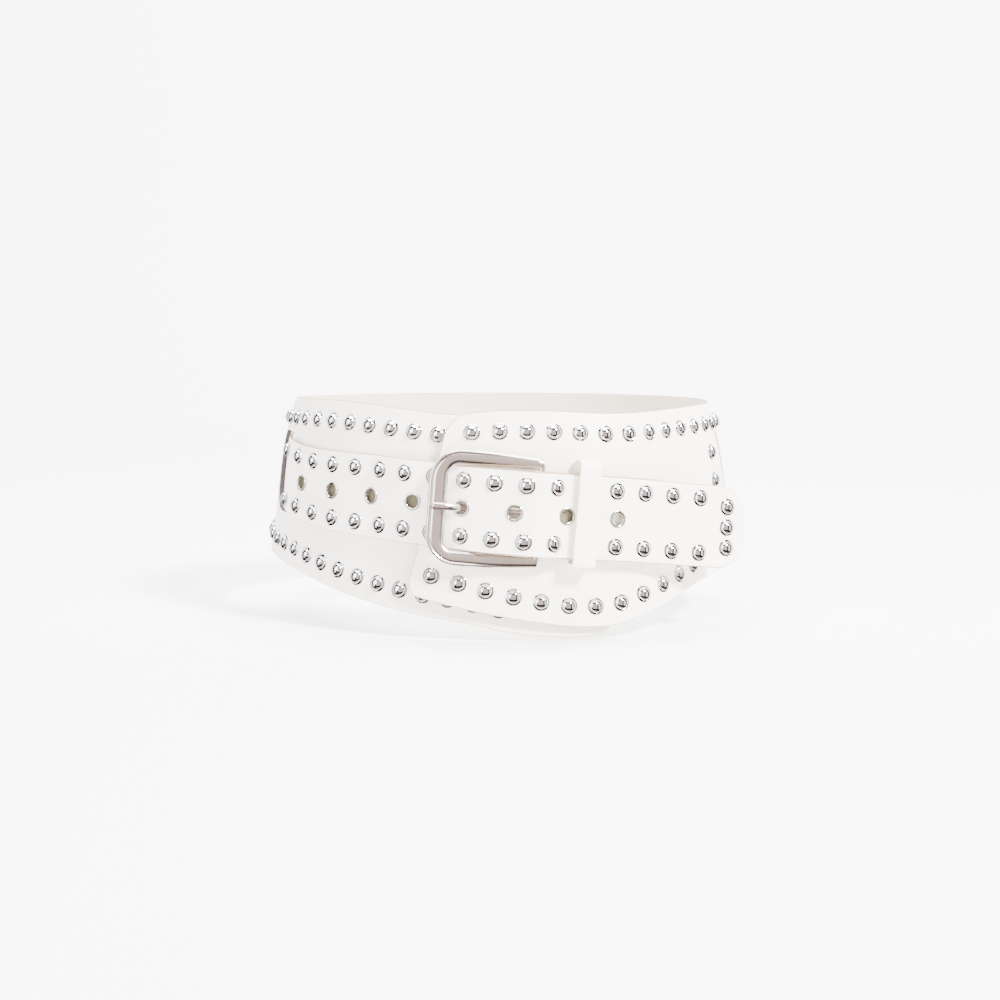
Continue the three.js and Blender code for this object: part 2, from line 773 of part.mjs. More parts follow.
// Inner and outer edge of the frame from the end of the upper arm round to the middle bar
function frameSections() {
  const innerHalf = strapWidth / 2 + looseGap;
  const outerHalf = innerHalf + frameArmWidth;
  const innerLeft = -frameLength + frameBarWidth / 2;
  const outerLeft = -frameLength - frameBarWidth / 2;
  const cornerCount = 4;
  const sections = [];
  const armStart = innerLeft + frameInnerRadius;
  for (const share of [0, 0.12, 0.55]) {
    const x = frameArmOverrun + (armStart - frameArmOverrun) * share;
    const width = frameArmEndWidth + (frameArmWidth - frameArmEndWidth) * Math.min(1, share * 1.6);
    sections.push({ inner: [x, innerHalf], outer: [x, innerHalf + width] });
  }
  for (let step = 0; step <= cornerCount; step += 1) {
    const turn = (step / cornerCount) * Math.PI * 0.5;
    const inner = [
      innerLeft + frameInnerRadius * (1 - Math.sin(turn)),
      innerHalf - frameInnerRadius * (1 - Math.cos(turn)),
    ];
    const outer = [
      outerLeft + frameOuterRadius * (1 - Math.sin(turn)),
      outerHalf - frameOuterRadius * (1 - Math.cos(turn)),
    ];
    sections.push({ inner, outer });
  }
  const mirrored = sections
    .map(({ inner, outer }) => ({ inner: [inner[0], -inner[1]], outer: [outer[0], -outer[1]] }))
    .reverse();
  return [...sections, ...mirrored];
}

// Rounded cross-section of the frame between its inner and outer edge
function frameRing({ inner, outer }) {
  const sides = 8;
  const ring = [];
  for (let side = 0; side < sides; side += 1) {
    const turn = -(side / sides) * Math.PI * 2;
    const across = Math.sign(Math.cos(turn)) * Math.abs(Math.cos(turn)) ** 0.8;
    const out = (Math.sign(Math.sin(turn)) * Math.abs(Math.sin(turn)) ** 0.7 * frameThickness) / 2;
    const x = (inner[0] + outer[0]) / 2 + ((outer[0] - inner[0]) / 2) * across;
    const y = (inner[1] + outer[1]) / 2 + ((outer[1] - inner[1]) / 2) * across;
    ring.push(bucklePoint(x, y, out));
  }
  return ring;
}

function buckleFrame() {
  const frame = solidFrom(barGeometry(frameSections().map(frameRing)));
  const barLength = strapWidth + 2 * looseGap + frameArmEndWidth;
  const bar = new THREE.CylinderGeometry(hingeBarRadius, hingeBarRadius, barLength, 12);
  bar.applyMatrix4(placeAt(buckle.bar, buckle));
  return geometryFrom(frame.add(solidFrom(bar)));
}

// Prong: an eye round the hinge bar and a bent round bar that comes up through an eyelet
const prongEyeOuter = hingeBarRadius + restGap + prongEyeWall;
function prong() {
  const hole = alongBuckle(strapPoint(prongHoleRun, 0, 0));
  const over = frameThickness / 2 + restGap + prongThickness / 2;
  const lowest = (along) => {
    const angle = barAngle + along / frontPerDegree;
    const lift = lapTop + prongFloorGap + prongThickness / 2;
    return [along, alongBuckle(onWaist(angle, strapHeight(angle), lift)).out];
  };
  const line = new THREE.CatmullRomCurve3(
    [
      [-hingeBarRadius - restGap - prongEyeWall / 2, 0],
      [hole.along * prongRootShare, -prongEyeWall / 2],
      lowest(hole.along + prongLapLength),
      lowest(hole.along + prongBendLength),
      [hole.along, hole.out],
      [hole.along - prongClimbLength, hole.out + prongClimbHeight],
      [-frameLength + frameBarWidth / 2, over],
      [-frameLength, over],
      [-frameLength - frameBarWidth / 2 + prongTipInset, over - prongTipDrop],
    ].map(([along, out]) => new THREE.Vector3(along, 0, out)),
    false,
    'centripetal'
  );
  const steps = 15;
  const sides = 8;
  const rings = [];
  for (let step = 0; step <= steps; step += 1) {
    const middle = line.getPointAt(step / steps);
    const ahead = line.getTangentAt(step / steps);
    const side = new THREE.Vector3(-ahead.z, 0, ahead.x);
    const taper = step === steps ? 0.55 : 1;
    const ring = [];
    for (let corner = 0; corner < sides; corner += 1) {
      const turn = (corner / sides) * Math.PI * 2;
      const across = (taper * prongWidth * Math.cos(turn)) / 2;
      const out = (taper * prongThickness * Math.sin(turn)) / 2;
      ring.push(bucklePoint(middle.x + side.x * out, across, middle.z + side.z * out));
    }
    rings.push(ring);
  }
  const half = prongEyeWidth / 2;
  const eye = turned(
    [
      [hingeBarRadius + restGap, -half],
      [prongEyeOuter, -half],
      [prongEyeOuter, half],
      [hingeBarRadius + restGap, half],
      [hingeBarRadius + restGap, -half],
    ],
    8
  ).rotateX(Math.PI / 2);
  eye.applyMatrix4(placeAt(buckle.bar, buckle));
  return geometryFrom(solidFrom(barGeometry(rings)).add(solidFrom(eye)));
}

// Short strap that holds the buckle: along the band, over the hinge bar and back underneath
function buckleStrap() {
  const halfWidth = strapWidth / 2;
  const stations = [];
  const onBand = (angle, lift, flip, drop) => ({
    halfWidth: halfWidth - drop,
    point: (across, height) => {
      const tilt = strapTilt(Math.min(angle, strapLeaveAngle));
      const level = strapHeight(angle) + across * Math.cos(tilt);
      const shift = (across * Math.sin(tilt)) / frontPerDegree;
      return onWaist(angle + shift, level, lift + flip * height);
    },
  });
  for (const step of cornerSteps(buckleStrapCornerRadius, 3)) {
    const angle = buckleStrapEndAngle - step / frontPerDegree;
    stations.push(onBand(angle, buckleStrapLift(angle), 1, cornerDrop(step, buckleStrapCornerRadius)));
  }
  const bodySteps = 13;
  const startAngle = buckleStrapEndAngle - buckleStrapCornerRadius / frontPerDegree;
  for (let step = 1; step < bodySteps; step += 1) {
    const angle = startAngle + ((barAngle + 0.8 - startAngle) * step) / bodySteps;
    stations.push(onBand(angle, buckleStrapLift(angle), 1, 0));
  }
  const foldSteps = 8;
  for (let step = 0; step <= foldSteps; step += 1) {
    const turn = Math.PI / 2 + (step / foldSteps) * Math.PI;
    stations.push({
      halfWidth,
      point: (across, height) => {
        const radius = foldRadius + height;
        return bucklePoint(radius * Math.cos(turn), across, radius * Math.sin(turn));
      },
    });
  }
  const flapSteps = 3;
  for (let step = 1; step <= flapSteps; step += 1) {
    const angle = barAngle + ((flapLength / frontPerDegree) * step) / flapSteps;
    stations.push(onBand(angle, barLift - foldRadius, -1, 0));
  }
  const strap = ribbon(stations, strapThickness);
  const slot = new THREE.BoxGeometry(
    prongEyeOuter + looseGap + foldRadius + strapThickness,
    prongEyeWidth + 2 * looseGap,
    4 * foldRadius
  );
  slot.translate((prongEyeOuter + looseGap - foldRadius - strapThickness) / 2, 0, 0);
  slot.applyMatrix4(placeAt(buckle.bar, buckle));
  return geometryFrom(strap.subtract(solidFrom(slot)));
}

// Outline of the keeper: a rectangle in across and lift, its corners rounded
function loopOutline(path, low, high, halfWidth, radius) {
  const corners = [
    { x: halfWidth - radius, y: low + radius, start: -0.5 },
    { x: halfWidth - radius, y: high - radius, start: 0 },
    { x: -halfWidth + radius, y: high - radius, start: 0.5 },
    { x: -halfWidth + radius, y: low + radius, start: 1 },
  ];
  const points = [];
  const along = [-0.5, 0, 0.5];
  along.forEach((share) => points.push(new THREE.Vector2(share * halfWidth, low)));
  corners.forEach((corner, index) => {
    for (let step = 0; step <= 3; step += 1) {
      const turn = (corner.start + step / 6) * Math.PI;
      points.push(new THREE.Vector2(corner.x + radius * Math.cos(turn), corner.y + radius * Math.sin(turn)));
    }
    if (index === 1) along.forEach((share) => points.push(new THREE.Vector2(-share * halfWidth, high)));
  });
  return path.setFromPoints(points);
}

// Keeper: a flat loop round both straps, bent to the waist as they are
function keeperLoop() {
  const low = lapTop + restGap;
  const innerHigh = strapAtKeeper + halfStrap + studHeight + restGap + looseGap;
  const high = innerHigh + keeperThickness;
  const half = keeperHeight / 2;
  const outline = loopOutline(new THREE.Shape(), low, high, half, keeperCornerRadius);
  const innerLow = low + keeperThickness;
  const innerHalf = half - keeperThickness;
  const innerRadius = keeperCornerRadius - keeperThickness;
  outline.holes.push(loopOutline(new THREE.Path(), innerLow, innerHigh, innerHalf, innerRadius));
  const loop = new THREE.ExtrudeGeometry(outline, { depth: keeperWidth, bevelEnabled: false, steps: 2 });
  const position = loop.attributes.position;
  const tilt = strapTilt(keeperAngle) + keeperLean * degrees;
  const perDegree = millimetresPerDegree(keeperAngle, 0, strapAtKeeper);
  for (let index = 0; index < position.count; index += 1) {
    const across = position.getX(index) + keeperRise;
    const along = position.getZ(index) - keeperWidth / 2;
    const angle = keeperAngle + (along * Math.cos(tilt) + across * Math.sin(tilt)) / perDegree;
    const level = strapHeight(keeperAngle) + across * Math.cos(tilt) - along * Math.sin(tilt);
    const point = onWaist(angle, level, position.getY(index));
    position.setXYZ(index, point.x, point.y, point.z);
  }
  return geometryFrom(solidFrom(loop));
}

// Materials
const leather = { color: 0xf3f0ea, roughness: 0.55, metalness: 0 };
const chrome = { color: 0xc9c9cb, roughness: 0.12, metalness: 1 };
const nickel = { color: 0xb9b7b4, roughness: 0.35, metalness: 1 };

const group = new THREE.Group();
function addPart(name, geometry, look) {
  const mesh = new THREE.Mesh(geometry, new THREE.MeshStandardMaterial(look));
  mesh.name = name;
  group.add(mesh);
}

addPart('wide_band', wideBand(), leather);
addPart('belt_strap', beltStrap(), leather);
addPart('buckle_strap', buckleStrap(), leather);
addPart('strap_keeper', keeperLoop(), leather);
addPart('buckle_frame', buckleFrame(), nickel);
addPart('buckle_prong', prong(), nickel);

eyeletRuns().forEach((run, index) => addPart(`eyelet_${index + 1}`, eyelet(run), nickel));

const studColumns = 17;
const columnsBehindProng = 8;
for (let index = 0; index < studColumns; index += 1) {
  const place = index - columnsBehindProng;
  const run = prongHoleRun + place * (place < 0 ? slotSideStudPitch : strapStudPitch);
  const across = (strapStudRowGap / 2) * (strapWidthAt(angleAtRun(Math.min(run, strapLeaveRun))) / strapWidth);
  addPart(`strap_stud_upper_${index + 1}`, strapStud(run, across), chrome);
  addPart(`strap_stud_lower_${index + 1}`, strapStud(run, -across), chrome);
}
for (let index = -1; index <= 1; index += 1) {
  addPart(`tip_stud_${index + 2}`, strapStud(tipStudRun, index * tipStudPitch), chrome);
}

export default group;
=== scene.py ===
import math

import bmesh
import bpy
import numpy as np
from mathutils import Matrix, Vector


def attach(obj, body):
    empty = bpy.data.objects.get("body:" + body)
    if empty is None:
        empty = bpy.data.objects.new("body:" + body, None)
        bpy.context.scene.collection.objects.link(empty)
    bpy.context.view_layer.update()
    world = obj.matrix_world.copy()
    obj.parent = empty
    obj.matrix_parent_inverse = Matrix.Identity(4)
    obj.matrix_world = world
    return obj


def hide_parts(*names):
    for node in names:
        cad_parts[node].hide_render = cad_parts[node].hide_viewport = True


# A wide studded waist belt, fastened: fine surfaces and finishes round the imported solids.
# Sizes below are millimetres in the part's own frame: +Z up, the front towards -Y.
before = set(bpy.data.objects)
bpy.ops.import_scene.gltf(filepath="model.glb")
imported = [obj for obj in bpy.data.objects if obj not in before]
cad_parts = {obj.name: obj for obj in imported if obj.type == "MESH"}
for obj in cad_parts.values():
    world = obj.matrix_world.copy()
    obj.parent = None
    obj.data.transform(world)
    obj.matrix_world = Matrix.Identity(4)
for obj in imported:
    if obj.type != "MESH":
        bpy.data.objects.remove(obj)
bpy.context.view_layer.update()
MM = 0.001

# Waist form that the leather is bent to
WAIST_HALF_WIDTH = 113.5
WAIST_FRONT_DEPTH = 102.2
WAIST_BACK_DEPTH = 78.0

# Wide band
BAND_HEIGHT = 104.0
BAND_THICKNESS = 2.0
UNDER_END_ANGLE = 25.0
OVER_END_ANGLE = -17.2
OVER_END_LEAN = 8.3
UNDER_CORNER = 6.0
OVER_TOP_CORNER = 10.0
OVER_BOTTOM_CORNER = 6.0
LAP_START_TURN = 306.0
LAP_FULL_TURN = 332.0
LEAN_START_TURN = 345.0
BAND_STATION_STEP = 1.8
BAND_LEVELS = 52

# Studs
STUD_RADIUS = 4.1
STUD_DOME_RADIUS = 3.15
STUD_FLANGE = 0.45
STUD_DOME_RISE = 2.1
STUD_HEIGHT = 2.2
STUD_CLEARANCE = 0.4
STUD_SIDES = 28
BAND_STUD_INSET = 9.7
COLUMN_STUD_ANGLE = 68.3
COLUMN_STUD_PITCH = 13.9
COLUMN_STUD_COUNT = 3
BACK_TURN = 180.0

# Strap
STRAP_WIDTH = 39.2
STRAP_THICKNESS = 2.0
STRAP_NARROWING = 0.07
STRAP_STUD_ROW_GAP = 26.0
STRAP_STUD_PITCH = 15.1
SLOT_SIDE_STUD_PITCH = 14.75
STRAP_STUD_COLUMNS = 17
COLUMNS_BEHIND_PRONG = 8
STRAP_TIP_LENGTH = 10.4
STRAP_TIP_CORNER = 14.0
TIP_STUD_PITCH = 9.8
STRAP_TAB_LENGTH = 46.0
STRAP_LEAVE_ANGLE = 27.0
STRAP_LEAVE_FALL = 0.12
STRAP_MARCH_END = -122.5
SLOT_ANGLE = -73.8
SLOT_WIDTH = 27.7
SLOT_MARGIN = 1.8
SLOT_DIVE_MARGIN = 2.4
DIVE_LENGTH = 15.6
RIGHT_SLOT_ANGLE = 80.0
RIGHT_SLOT_WIDTH = 3.0

# Eyelets
EYELET_PITCH = 25.4
SLOT_SIDE_EYELET_PITCH = 24.5
EYELET_HOLE_RADIUS = 2.9
EYELET_RIM_RADIUS = 4.2
EYELET_BARREL_WALL = 0.4
EYELET_COUNT = 8
EYELETS_BEHIND_PRONG = 4
EYELET_SIDES = 32
HOLE_CLEARANCE = 0.02
# Eyelets whose hole is closed low in the barrel by a dark olive disc, painted shade that stands for the dim
# gap under the strap: the prong runs under the fifth and the sixth, and the last stands clear of the band
SHADED_EYELETS = (0, 1, 2, 3, 6)
HOLE_SHADE_LIFT = 0.25

# Buckle
BAR_ANGLE = 8.0
FRAME_LENGTH = 47.8
FRAME_BAR_WIDTH = 8.8
FRAME_ARM_WIDTH = 7.0
FRAME_ARM_END_WIDTH = 5.2
FRAME_THICKNESS = 3.4
FRAME_INNER_CORNER = 5.0
FRAME_OUTER_CORNER = 15.0
FRAME_ARM_OVERRUN = 0.4
FRAME_RISE = 0.8
ARM_END_ROUND = 0.35
ARM_END_SCALE = 0.86
HINGE_BAR_RADIUS = 1.5
HINGE_BAR_SIDES = 24
PRONG_WIDTH = 3.4
PRONG_THICKNESS = 2.1
PRONG_EYE_WIDTH = 4.6
PRONG_REACH = 14.4
PRONG_EYE_WALL = 1.5
PRONG_TIP_INSET = 1.9
PRONG_TIP_DROP = 0.2
PRONG_TIP_ROUND = 1.6
PRONG_ROOT_SHARE = 0.3
PRONG_ROOT_DROP = 0.6
PRONG_LOW_REACH = (9.0, 3.4)
PRONG_RISE = (2.4, 2.2)
BUCKLE_STRAP_END_ANGLE = 41.0
BUCKLE_STRAP_CORNER = 5.0
FLAP_LENGTH = 13.0
FOLD_START_ANGLE = 0.8
KEEPER_ANGLE = 17.9
KEEPER_LEAN = 2.0
KEEPER_RISE = 1.8
KEEPER_WIDTH = 10.5
KEEPER_THICKNESS = 1.4
KEEPER_HEIGHT = 50.0
KEEPER_CORNER = 3.0
REST_GAP = 0.4
LOOSE_GAP = 0.5
LAYER_GAP = 0.7

# Width of the waist by height, both as shares: of the band's height and of the half width
FLARE = [
    (-0.577, 1.11), (-0.346, 1.06), (-0.221, 1.037), (-0.048, 1.013),
    (0.096, 0.998), (0.298, 0.971), (0.423, 0.944), (0.538, 0.909),
]

# Edges of the band by turn: (turn in degrees, top share, bottom share of the band's height)
EDGES = [
    (-25, 0.486, -0.486), (-17, 0.488, -0.506), (-4, 0.49, -0.487), (9, 0.493, -0.437),
    (17, 0.498, -0.415), (26, 0.514, -0.386), (43, 0.536, -0.323), (56, 0.538, -0.276),
    (68, 0.532, -0.249), (90, 0.518, -0.222), (130, 0.5, -0.202), (180, 0.495, -0.197),
    (230, 0.497, -0.205), (270, 0.5, -0.24), (292, 0.502, -0.28), (307, 0.5, -0.314),
    (317, 0.497, -0.362), (328, 0.495, -0.421), (335.5, 0.499, -0.455), (343, 0.508, -0.455),
    (350, 0.514, -0.438), (362.5, 0.516, -0.385), (369, 0.508, -0.352), (378, 0.49, -0.307),
]
TOP_EDGE = [(turn, top) for turn, top, bottom in EDGES]
BOTTOM_EDGE = [(turn, bottom) for turn, top, bottom in EDGES]

# Middle line of the strap by angle from the front, as shares of the band's height
STRAP_LINE = [
    (-110, 0.185), (-76, 0.178), (-67, 0.167), (-56.7, 0.142), (-44.6, 0.126),
    (-32.6, 0.117), (-20.6, 0.106), (-9.5, 0.087), (3, 0.069), (8, 0.061),
    (15, 0.047), (27, 0.024), (41, -0.008),
]

# Lean of the strap's cross lines towards the slot, in degrees, by angle from the front
STRAP_LEAN = [(-76, 19), (-66, 17), (-45, 8.4), (-30, 5.5), (-10, 2), (3, 0)]

# Outline of a slot from its front lip (-1) to its curved back lip (1), and its half height's share
SLOT_OUTLINE = [(-1, 0.94), (-0.8, 1.0), (0.3, 1.0), (0.65, 0.92), (0.88, 0.72), (1, 0.46)]

# Turn of the first stud, edge and pitch of each row round to the middle of the back
STUD_ROWS = [(2.9, "top", 12.6), (0.7, "bottom", 12.4), (367.2, "top", 13.1), (375.6, "bottom", 13.4)]

# Lifts off the waist, worked out from the sizes above
LAP_LIFT = BAND_THICKNESS + STUD_HEIGHT + STUD_CLEARANCE
LAP_TOP = LAP_LIFT + BAND_THICKNESS
HALF_STRAP = STRAP_THICKNESS / 2
STRAP_ON_BAND = BAND_THICKNESS + REST_GAP + HALF_STRAP
STRAP_ON_LAP = LAP_TOP + REST_GAP + HALF_STRAP
STRAP_INSIDE = -REST_GAP - HALF_STRAP
FOLD_RADIUS = HINGE_BAR_RADIUS + REST_GAP + HALF_STRAP
BAR_LIFT = LAP_TOP + REST_GAP + HALF_STRAP + FOLD_RADIUS
FRAME_LIFT = LAP_TOP + 3 * REST_GAP + STRAP_THICKNESS + STUD_HEIGHT + FRAME_RISE + FRAME_THICKNESS / 2
BUCKLE_STRAP_AT_KEEPER = LAP_TOP + REST_GAP + KEEPER_THICKNESS + LOOSE_GAP + HALF_STRAP
STRAP_AT_KEEPER = BUCKLE_STRAP_AT_KEEPER + STRAP_THICKNESS + LAYER_GAP
STRAP_AT_BAR = BAR_LIFT + FOLD_RADIUS + STRAP_THICKNESS + LAYER_GAP
BAND_START = -UNDER_END_ANGLE
BAND_END = 360 - OVER_END_ANGLE


def read_table(rows, at):
    """Smooth reading, at one or many keys, of (key, value) rows in rising order of key."""
    keys, values = np.array(rows, float).T
    last = len(rows) - 1
    before = np.maximum(np.arange(last + 1) - 1, 0)
    after = np.minimum(np.arange(last + 1) + 1, last)
    slopes = (values[after] - values[before]) / (keys[after] - keys[before])
    at = np.clip(np.asarray(at, float), keys[0], keys[last])
    row = np.clip(np.searchsorted(keys, at, side="left") - 1, 0, last - 1)
    span = keys[row + 1] - keys[row]
    part = (at - keys[row]) / span
    square, cube = part**2, part**3
    return (
        (2 * cube - 3 * square + 1) * values[row]
        + (cube - 2 * square + part) * span * slopes[row]
        + (3 * square - 2 * cube) * values[row + 1]
        + (cube - square) * span * slopes[row + 1]
    )


def ease(value, start, end):
    """0 before start, 1 after end, and smooth between them."""
    part = np.clip((np.asarray(value, float) - start) / (end - start), 0, 1)
    return part * part * (3 - 2 * part)


def unit(vectors):
    return vectors / np.linalg.norm(vectors, axis=-1, keepdims=True)


def on_waist(angle, height, lift):
    """Points on the waist at an angle from the front, a height and a distance outwards."""
    angle, height, lift = np.broadcast_arrays(
        np.asarray(angle, float), np.asarray(height, float), np.asarray(lift, float)
    )
    share = read_table(FLARE, height / BAND_HEIGHT)
    sine, cosine = np.sin(np.radians(angle)), np.cos(np.radians(angle))
    half_width = WAIST_HALF_WIDTH * share
    depth = np.where(cosine > 0, WAIST_FRONT_DEPTH, WAIST_BACK_DEPTH) * share
    out_x, out_y = depth * sine, -half_width * cosine
    length = np.hypot(out_x, out_y)
    return np.stack(
        [half_width * sine + lift * out_x / length, -depth * cosine + lift * out_y / length, height], axis=-1
    )


def axes_at(angle, height, lift):
    """Rows of directions on the waist: along (towards +X at the front), up and out."""
    along = unit(on_waist(angle + 0.5, height, lift) - on_waist(angle - 0.5, height, lift))
    rise = unit(on_waist(angle, height + 5, lift) - on_waist(angle, height - 5, lift))
    out = unit(np.cross(along, rise))
    return np.array([along, np.cross(out, along), out])


def mm_per_degree(angle, height, lift):
    return np.linalg.norm(on_waist(angle + 0.5, height, lift) - on_waist(angle - 0.5, height, lift), axis=-1)


def corner_drop(distance, radius):
    """How far a rounded corner pulls an edge in, at a distance from the end."""
    left = np.clip(radius - np.asarray(distance, float), 0, radius)
    return radius - np.sqrt(np.maximum(radius * radius - left * left, 0))


def corner_distance(across, along, radius):
    """Distance from a rounded corner's outline, from the distances to its two sides."""
    inside = radius - np.hypot(radius - across, radius - along)
    return np.where((across < radius) & (along < radius), inside, np.minimum(across, along))


FRONT_PER_DEGREE = float(mm_per_degree(0, 0, 0))


def band_lift(turn):
    return LAP_LIFT * ease(turn, LAP_START_TURN, LAP_FULL_TURN)


def strap_height(angle):
    return BAND_HEIGHT * read_table(STRAP_LINE, angle)


def strap_width_at(angle):
    return STRAP_WIDTH * (1 - STRAP_NARROWING * ease(-np.asarray(angle, float), 30, 68))


KEEPER_LEVEL_HALF_ANGLE = 3.2
SETTLE_ANGLE = 6.8
SLOPE_ANGLE = KEEPER_ANGLE - KEEPER_LEVEL_HALF_ANGLE - BAR_ANGLE
SLOPE_TOP = BAR_LIFT + FOLD_RADIUS
SLOPE_DROP = SLOPE_TOP - BUCKLE_STRAP_AT_KEEPER
BUCKLE_STRAP_LIFTS = [
    (BAR_ANGLE + along * SLOPE_ANGLE, SLOPE_TOP - down * SLOPE_DROP)
    for along, down in ((0, 0), (0.15, 0.05), (0.4, 0.32), (0.75, 0.84), (1, 1))
]


def buckle_strap_lift(angle):
    """Lift of the short strap: over the hinge bar, through the keeper, down to its sewn end."""
    level_end = KEEPER_ANGLE + KEEPER_LEVEL_HALF_ANGLE
    settled = ease(angle, level_end, level_end + SETTLE_ANGLE)
    rest = band_lift(360 - np.asarray(angle, float)) + BAND_THICKNESS + REST_GAP + HALF_STRAP
    past = BUCKLE_STRAP_AT_KEEPER * (1 - settled) + rest * settled
    return np.where(np.asarray(angle) <= level_end, read_table(BUCKLE_STRAP_LIFTS, angle), past)


SLOT_PER_DEGREE = float(mm_per_degree(SLOT_ANGLE, 0, 0))
DIVE_START = SLOT_ANGLE + (SLOT_WIDTH / 2 - SLOT_DIVE_MARGIN) / SLOT_PER_DEGREE
DIVE_END = DIVE_START - DIVE_LENGTH / SLOT_PER_DEGREE
PRONG_HOLE_ANGLE = BAR_ANGLE - (FRAME_LENGTH - PRONG_REACH) / FRONT_PER_DEGREE
FRAME_BAR_ANGLE = BAR_ANGLE - FRAME_LENGTH / FRONT_PER_DEGREE
# Lift of the strap by angle: inside the band, out through the slot, up onto the over panel, under
# the frame's bar, then over the prong and the hinge bar. Small offsets round off each step.
STRAP_LIFTS = [
    (-125, STRAP_INSIDE),
    (DIVE_END - 1, STRAP_INSIDE),
    (DIVE_END, STRAP_INSIDE),
    (DIVE_START, STRAP_ON_BAND),
    (DIVE_START + 1, STRAP_ON_BAND),
    (OVER_END_ANGLE - 18, STRAP_ON_BAND),
    (OVER_END_ANGLE - 15, STRAP_ON_BAND),
    (OVER_END_ANGLE - 5, STRAP_ON_LAP - 0.3),
    (OVER_END_ANGLE - 3, STRAP_ON_LAP),
    (FRAME_BAR_ANGLE, STRAP_ON_LAP),
    (FRAME_BAR_ANGLE + 2, STRAP_ON_LAP + 0.1),
    (PRONG_HOLE_ANGLE, STRAP_ON_LAP + 1.9),
    (PRONG_HOLE_ANGLE + 1.6, STRAP_ON_LAP + 2.9),
    (PRONG_HOLE_ANGLE + 5, STRAP_ON_LAP + 4.4),
    ((PRONG_HOLE_ANGLE + BAR_ANGLE) / 2 + 2, STRAP_ON_LAP + 6.2),
    (BAR_ANGLE - 1.6, STRAP_AT_BAR),
    (BAR_ANGLE, STRAP_AT_BAR),
]


def strap_lift(angle):
    over = buckle_strap_lift(np.minimum(angle, KEEPER_ANGLE)) + STRAP_THICKNESS + LAYER_GAP
    return np.where(np.asarray(angle) <= BAR_ANGLE, read_table(STRAP_LIFTS, angle), over)


def march_strap():
    """Rows of (run, angle): run along the strap from the hinge bar, towards the tip positive."""
    step = 0.5
    ahead = np.append(np.arange(BAR_ANGLE, STRAP_LEAVE_ANGLE, step), STRAP_LEAVE_ANGLE)
    behind = np.arange(BAR_ANGLE, STRAP_MARCH_END, -step)
    rows = []
    for angles, direction in ((behind, -1), (ahead, 1)):
        points = on_waist(angles, strap_height(angles), strap_lift(angles))
        lengths = np.linalg.norm(np.diff(points, axis=0), axis=1)
        runs = direction * np.concatenate([[0], np.cumsum(lengths)])
        side = list(zip(runs.tolist(), angles.tolist()))
        rows += side[::-1] if direction < 0 else side[1:]
    return rows


STRAP_ROWS = march_strap()
STRAP_ANGLES = [(angle, run) for run, angle in STRAP_ROWS]
STRAP_LEAVE_RUN = STRAP_ROWS[-1][0]


def angle_at_run(run):
    return read_table(STRAP_ROWS, run)


def run_at_angle(angle):
    return float(read_table(STRAP_ANGLES, angle))


def strap_tilt(angle):
    rise = strap_height(angle + 2) - strap_height(angle - 2)
    return -np.arctan(rise / (4 * mm_per_degree(angle, strap_height(angle), strap_lift(angle))))


def strap_lean(angle):
    return strap_tilt(angle) - np.radians(read_table(STRAP_LEAN, angle))


def strap_point(run, across, height):
    """Points of the strap: run along it, distance across it (up positive) and off its middle."""
    run, across, height = np.broadcast_arrays(
        np.asarray(run, float), np.asarray(across, float), np.asarray(height, float)
    )
    angle = angle_at_run(np.minimum(run, STRAP_LEAVE_RUN))
    tilt = strap_tilt(angle)
    level = strap_height(angle) + across * np.cos(tilt)
    shift = across * np.sin(strap_lean(angle)) / mm_per_degree(angle, level, strap_lift(angle))
    points = on_waist(angle + shift, level, strap_lift(angle) + height)
    leave = STRAP_LEAVE_ANGLE
    along = axes_at(leave, strap_height(leave), strap_lift(leave))[0]
    ahead = unit(np.array([along[0], along[1], -STRAP_LEAVE_FALL]))
    return points + np.maximum(run - STRAP_LEAVE_RUN, 0)[..., None] * ahead


def strap_axes(run):
    along = unit(strap_point(run + 1.5, 0, 0) - strap_point(run - 1.5, 0, 0))
    rise = unit(strap_point(run, 6, 0) - strap_point(run, -6, 0))
    out = unit(np.cross(along, rise))
    return np.array([along, np.cross(out, along), out])


PRONG_HOLE_RUN = run_at_angle(PRONG_HOLE_ANGLE)
TIP_STUD_RUN = PRONG_HOLE_RUN + (STRAP_STUD_COLUMNS - COLUMNS_BEHIND_PRONG) * STRAP_STUD_PITCH
STRAP_TIP_RUN = TIP_STUD_RUN + STRAP_TIP_LENGTH
STRAP_END_RUN = run_at_angle(DIVE_END) - STRAP_TAB_LENGTH
EYELET_RUNS = []
for place in range(-EYELETS_BEHIND_PRONG, EYELET_COUNT - EYELETS_BEHIND_PRONG):
    EYELET_RUNS.append(PRONG_HOLE_RUN + place * (SLOT_SIDE_EYELET_PITCH if place < 0 else EYELET_PITCH))


# Materials

def linear(colour):
    """An sRGB hex colour as the linear colour that shaders work in."""
    parts = [int(colour[i : i + 2], 16) / 255 for i in (1, 3, 5)]
    return [part / 12.92 if part <= 0.04045 else ((part + 0.055) / 1.055) ** 2.4 for part in parts] + [1.0]


def add_node(tree, kind, settings=None, links=None):
    """Adds one node, sets its properties or its sockets' values, and links its sockets."""
    made = tree.nodes.new(kind)
    for name, value in (settings or {}).items():
        if isinstance(name, int) or name in made.inputs:
            made.inputs[name].default_value = value
        else:
            setattr(made, name, value)
    for name, source in (links or {}).items():
        tree.links.new(source, made.inputs[name])
    return made


def start_material(name):
    material = bpy.data.materials.new(name)
    material.use_nodes = True
    tree = material.node_tree
    shader = tree.nodes["Principled BSDF"]
    place = add_node(tree, "ShaderNodeTexCoord").outputs["Object"]
    return material, tree, shader, place


def per_metre(size_mm):
    """Scale of a pattern whose repeat is this many millimetres."""
    return 1000 / size_mm


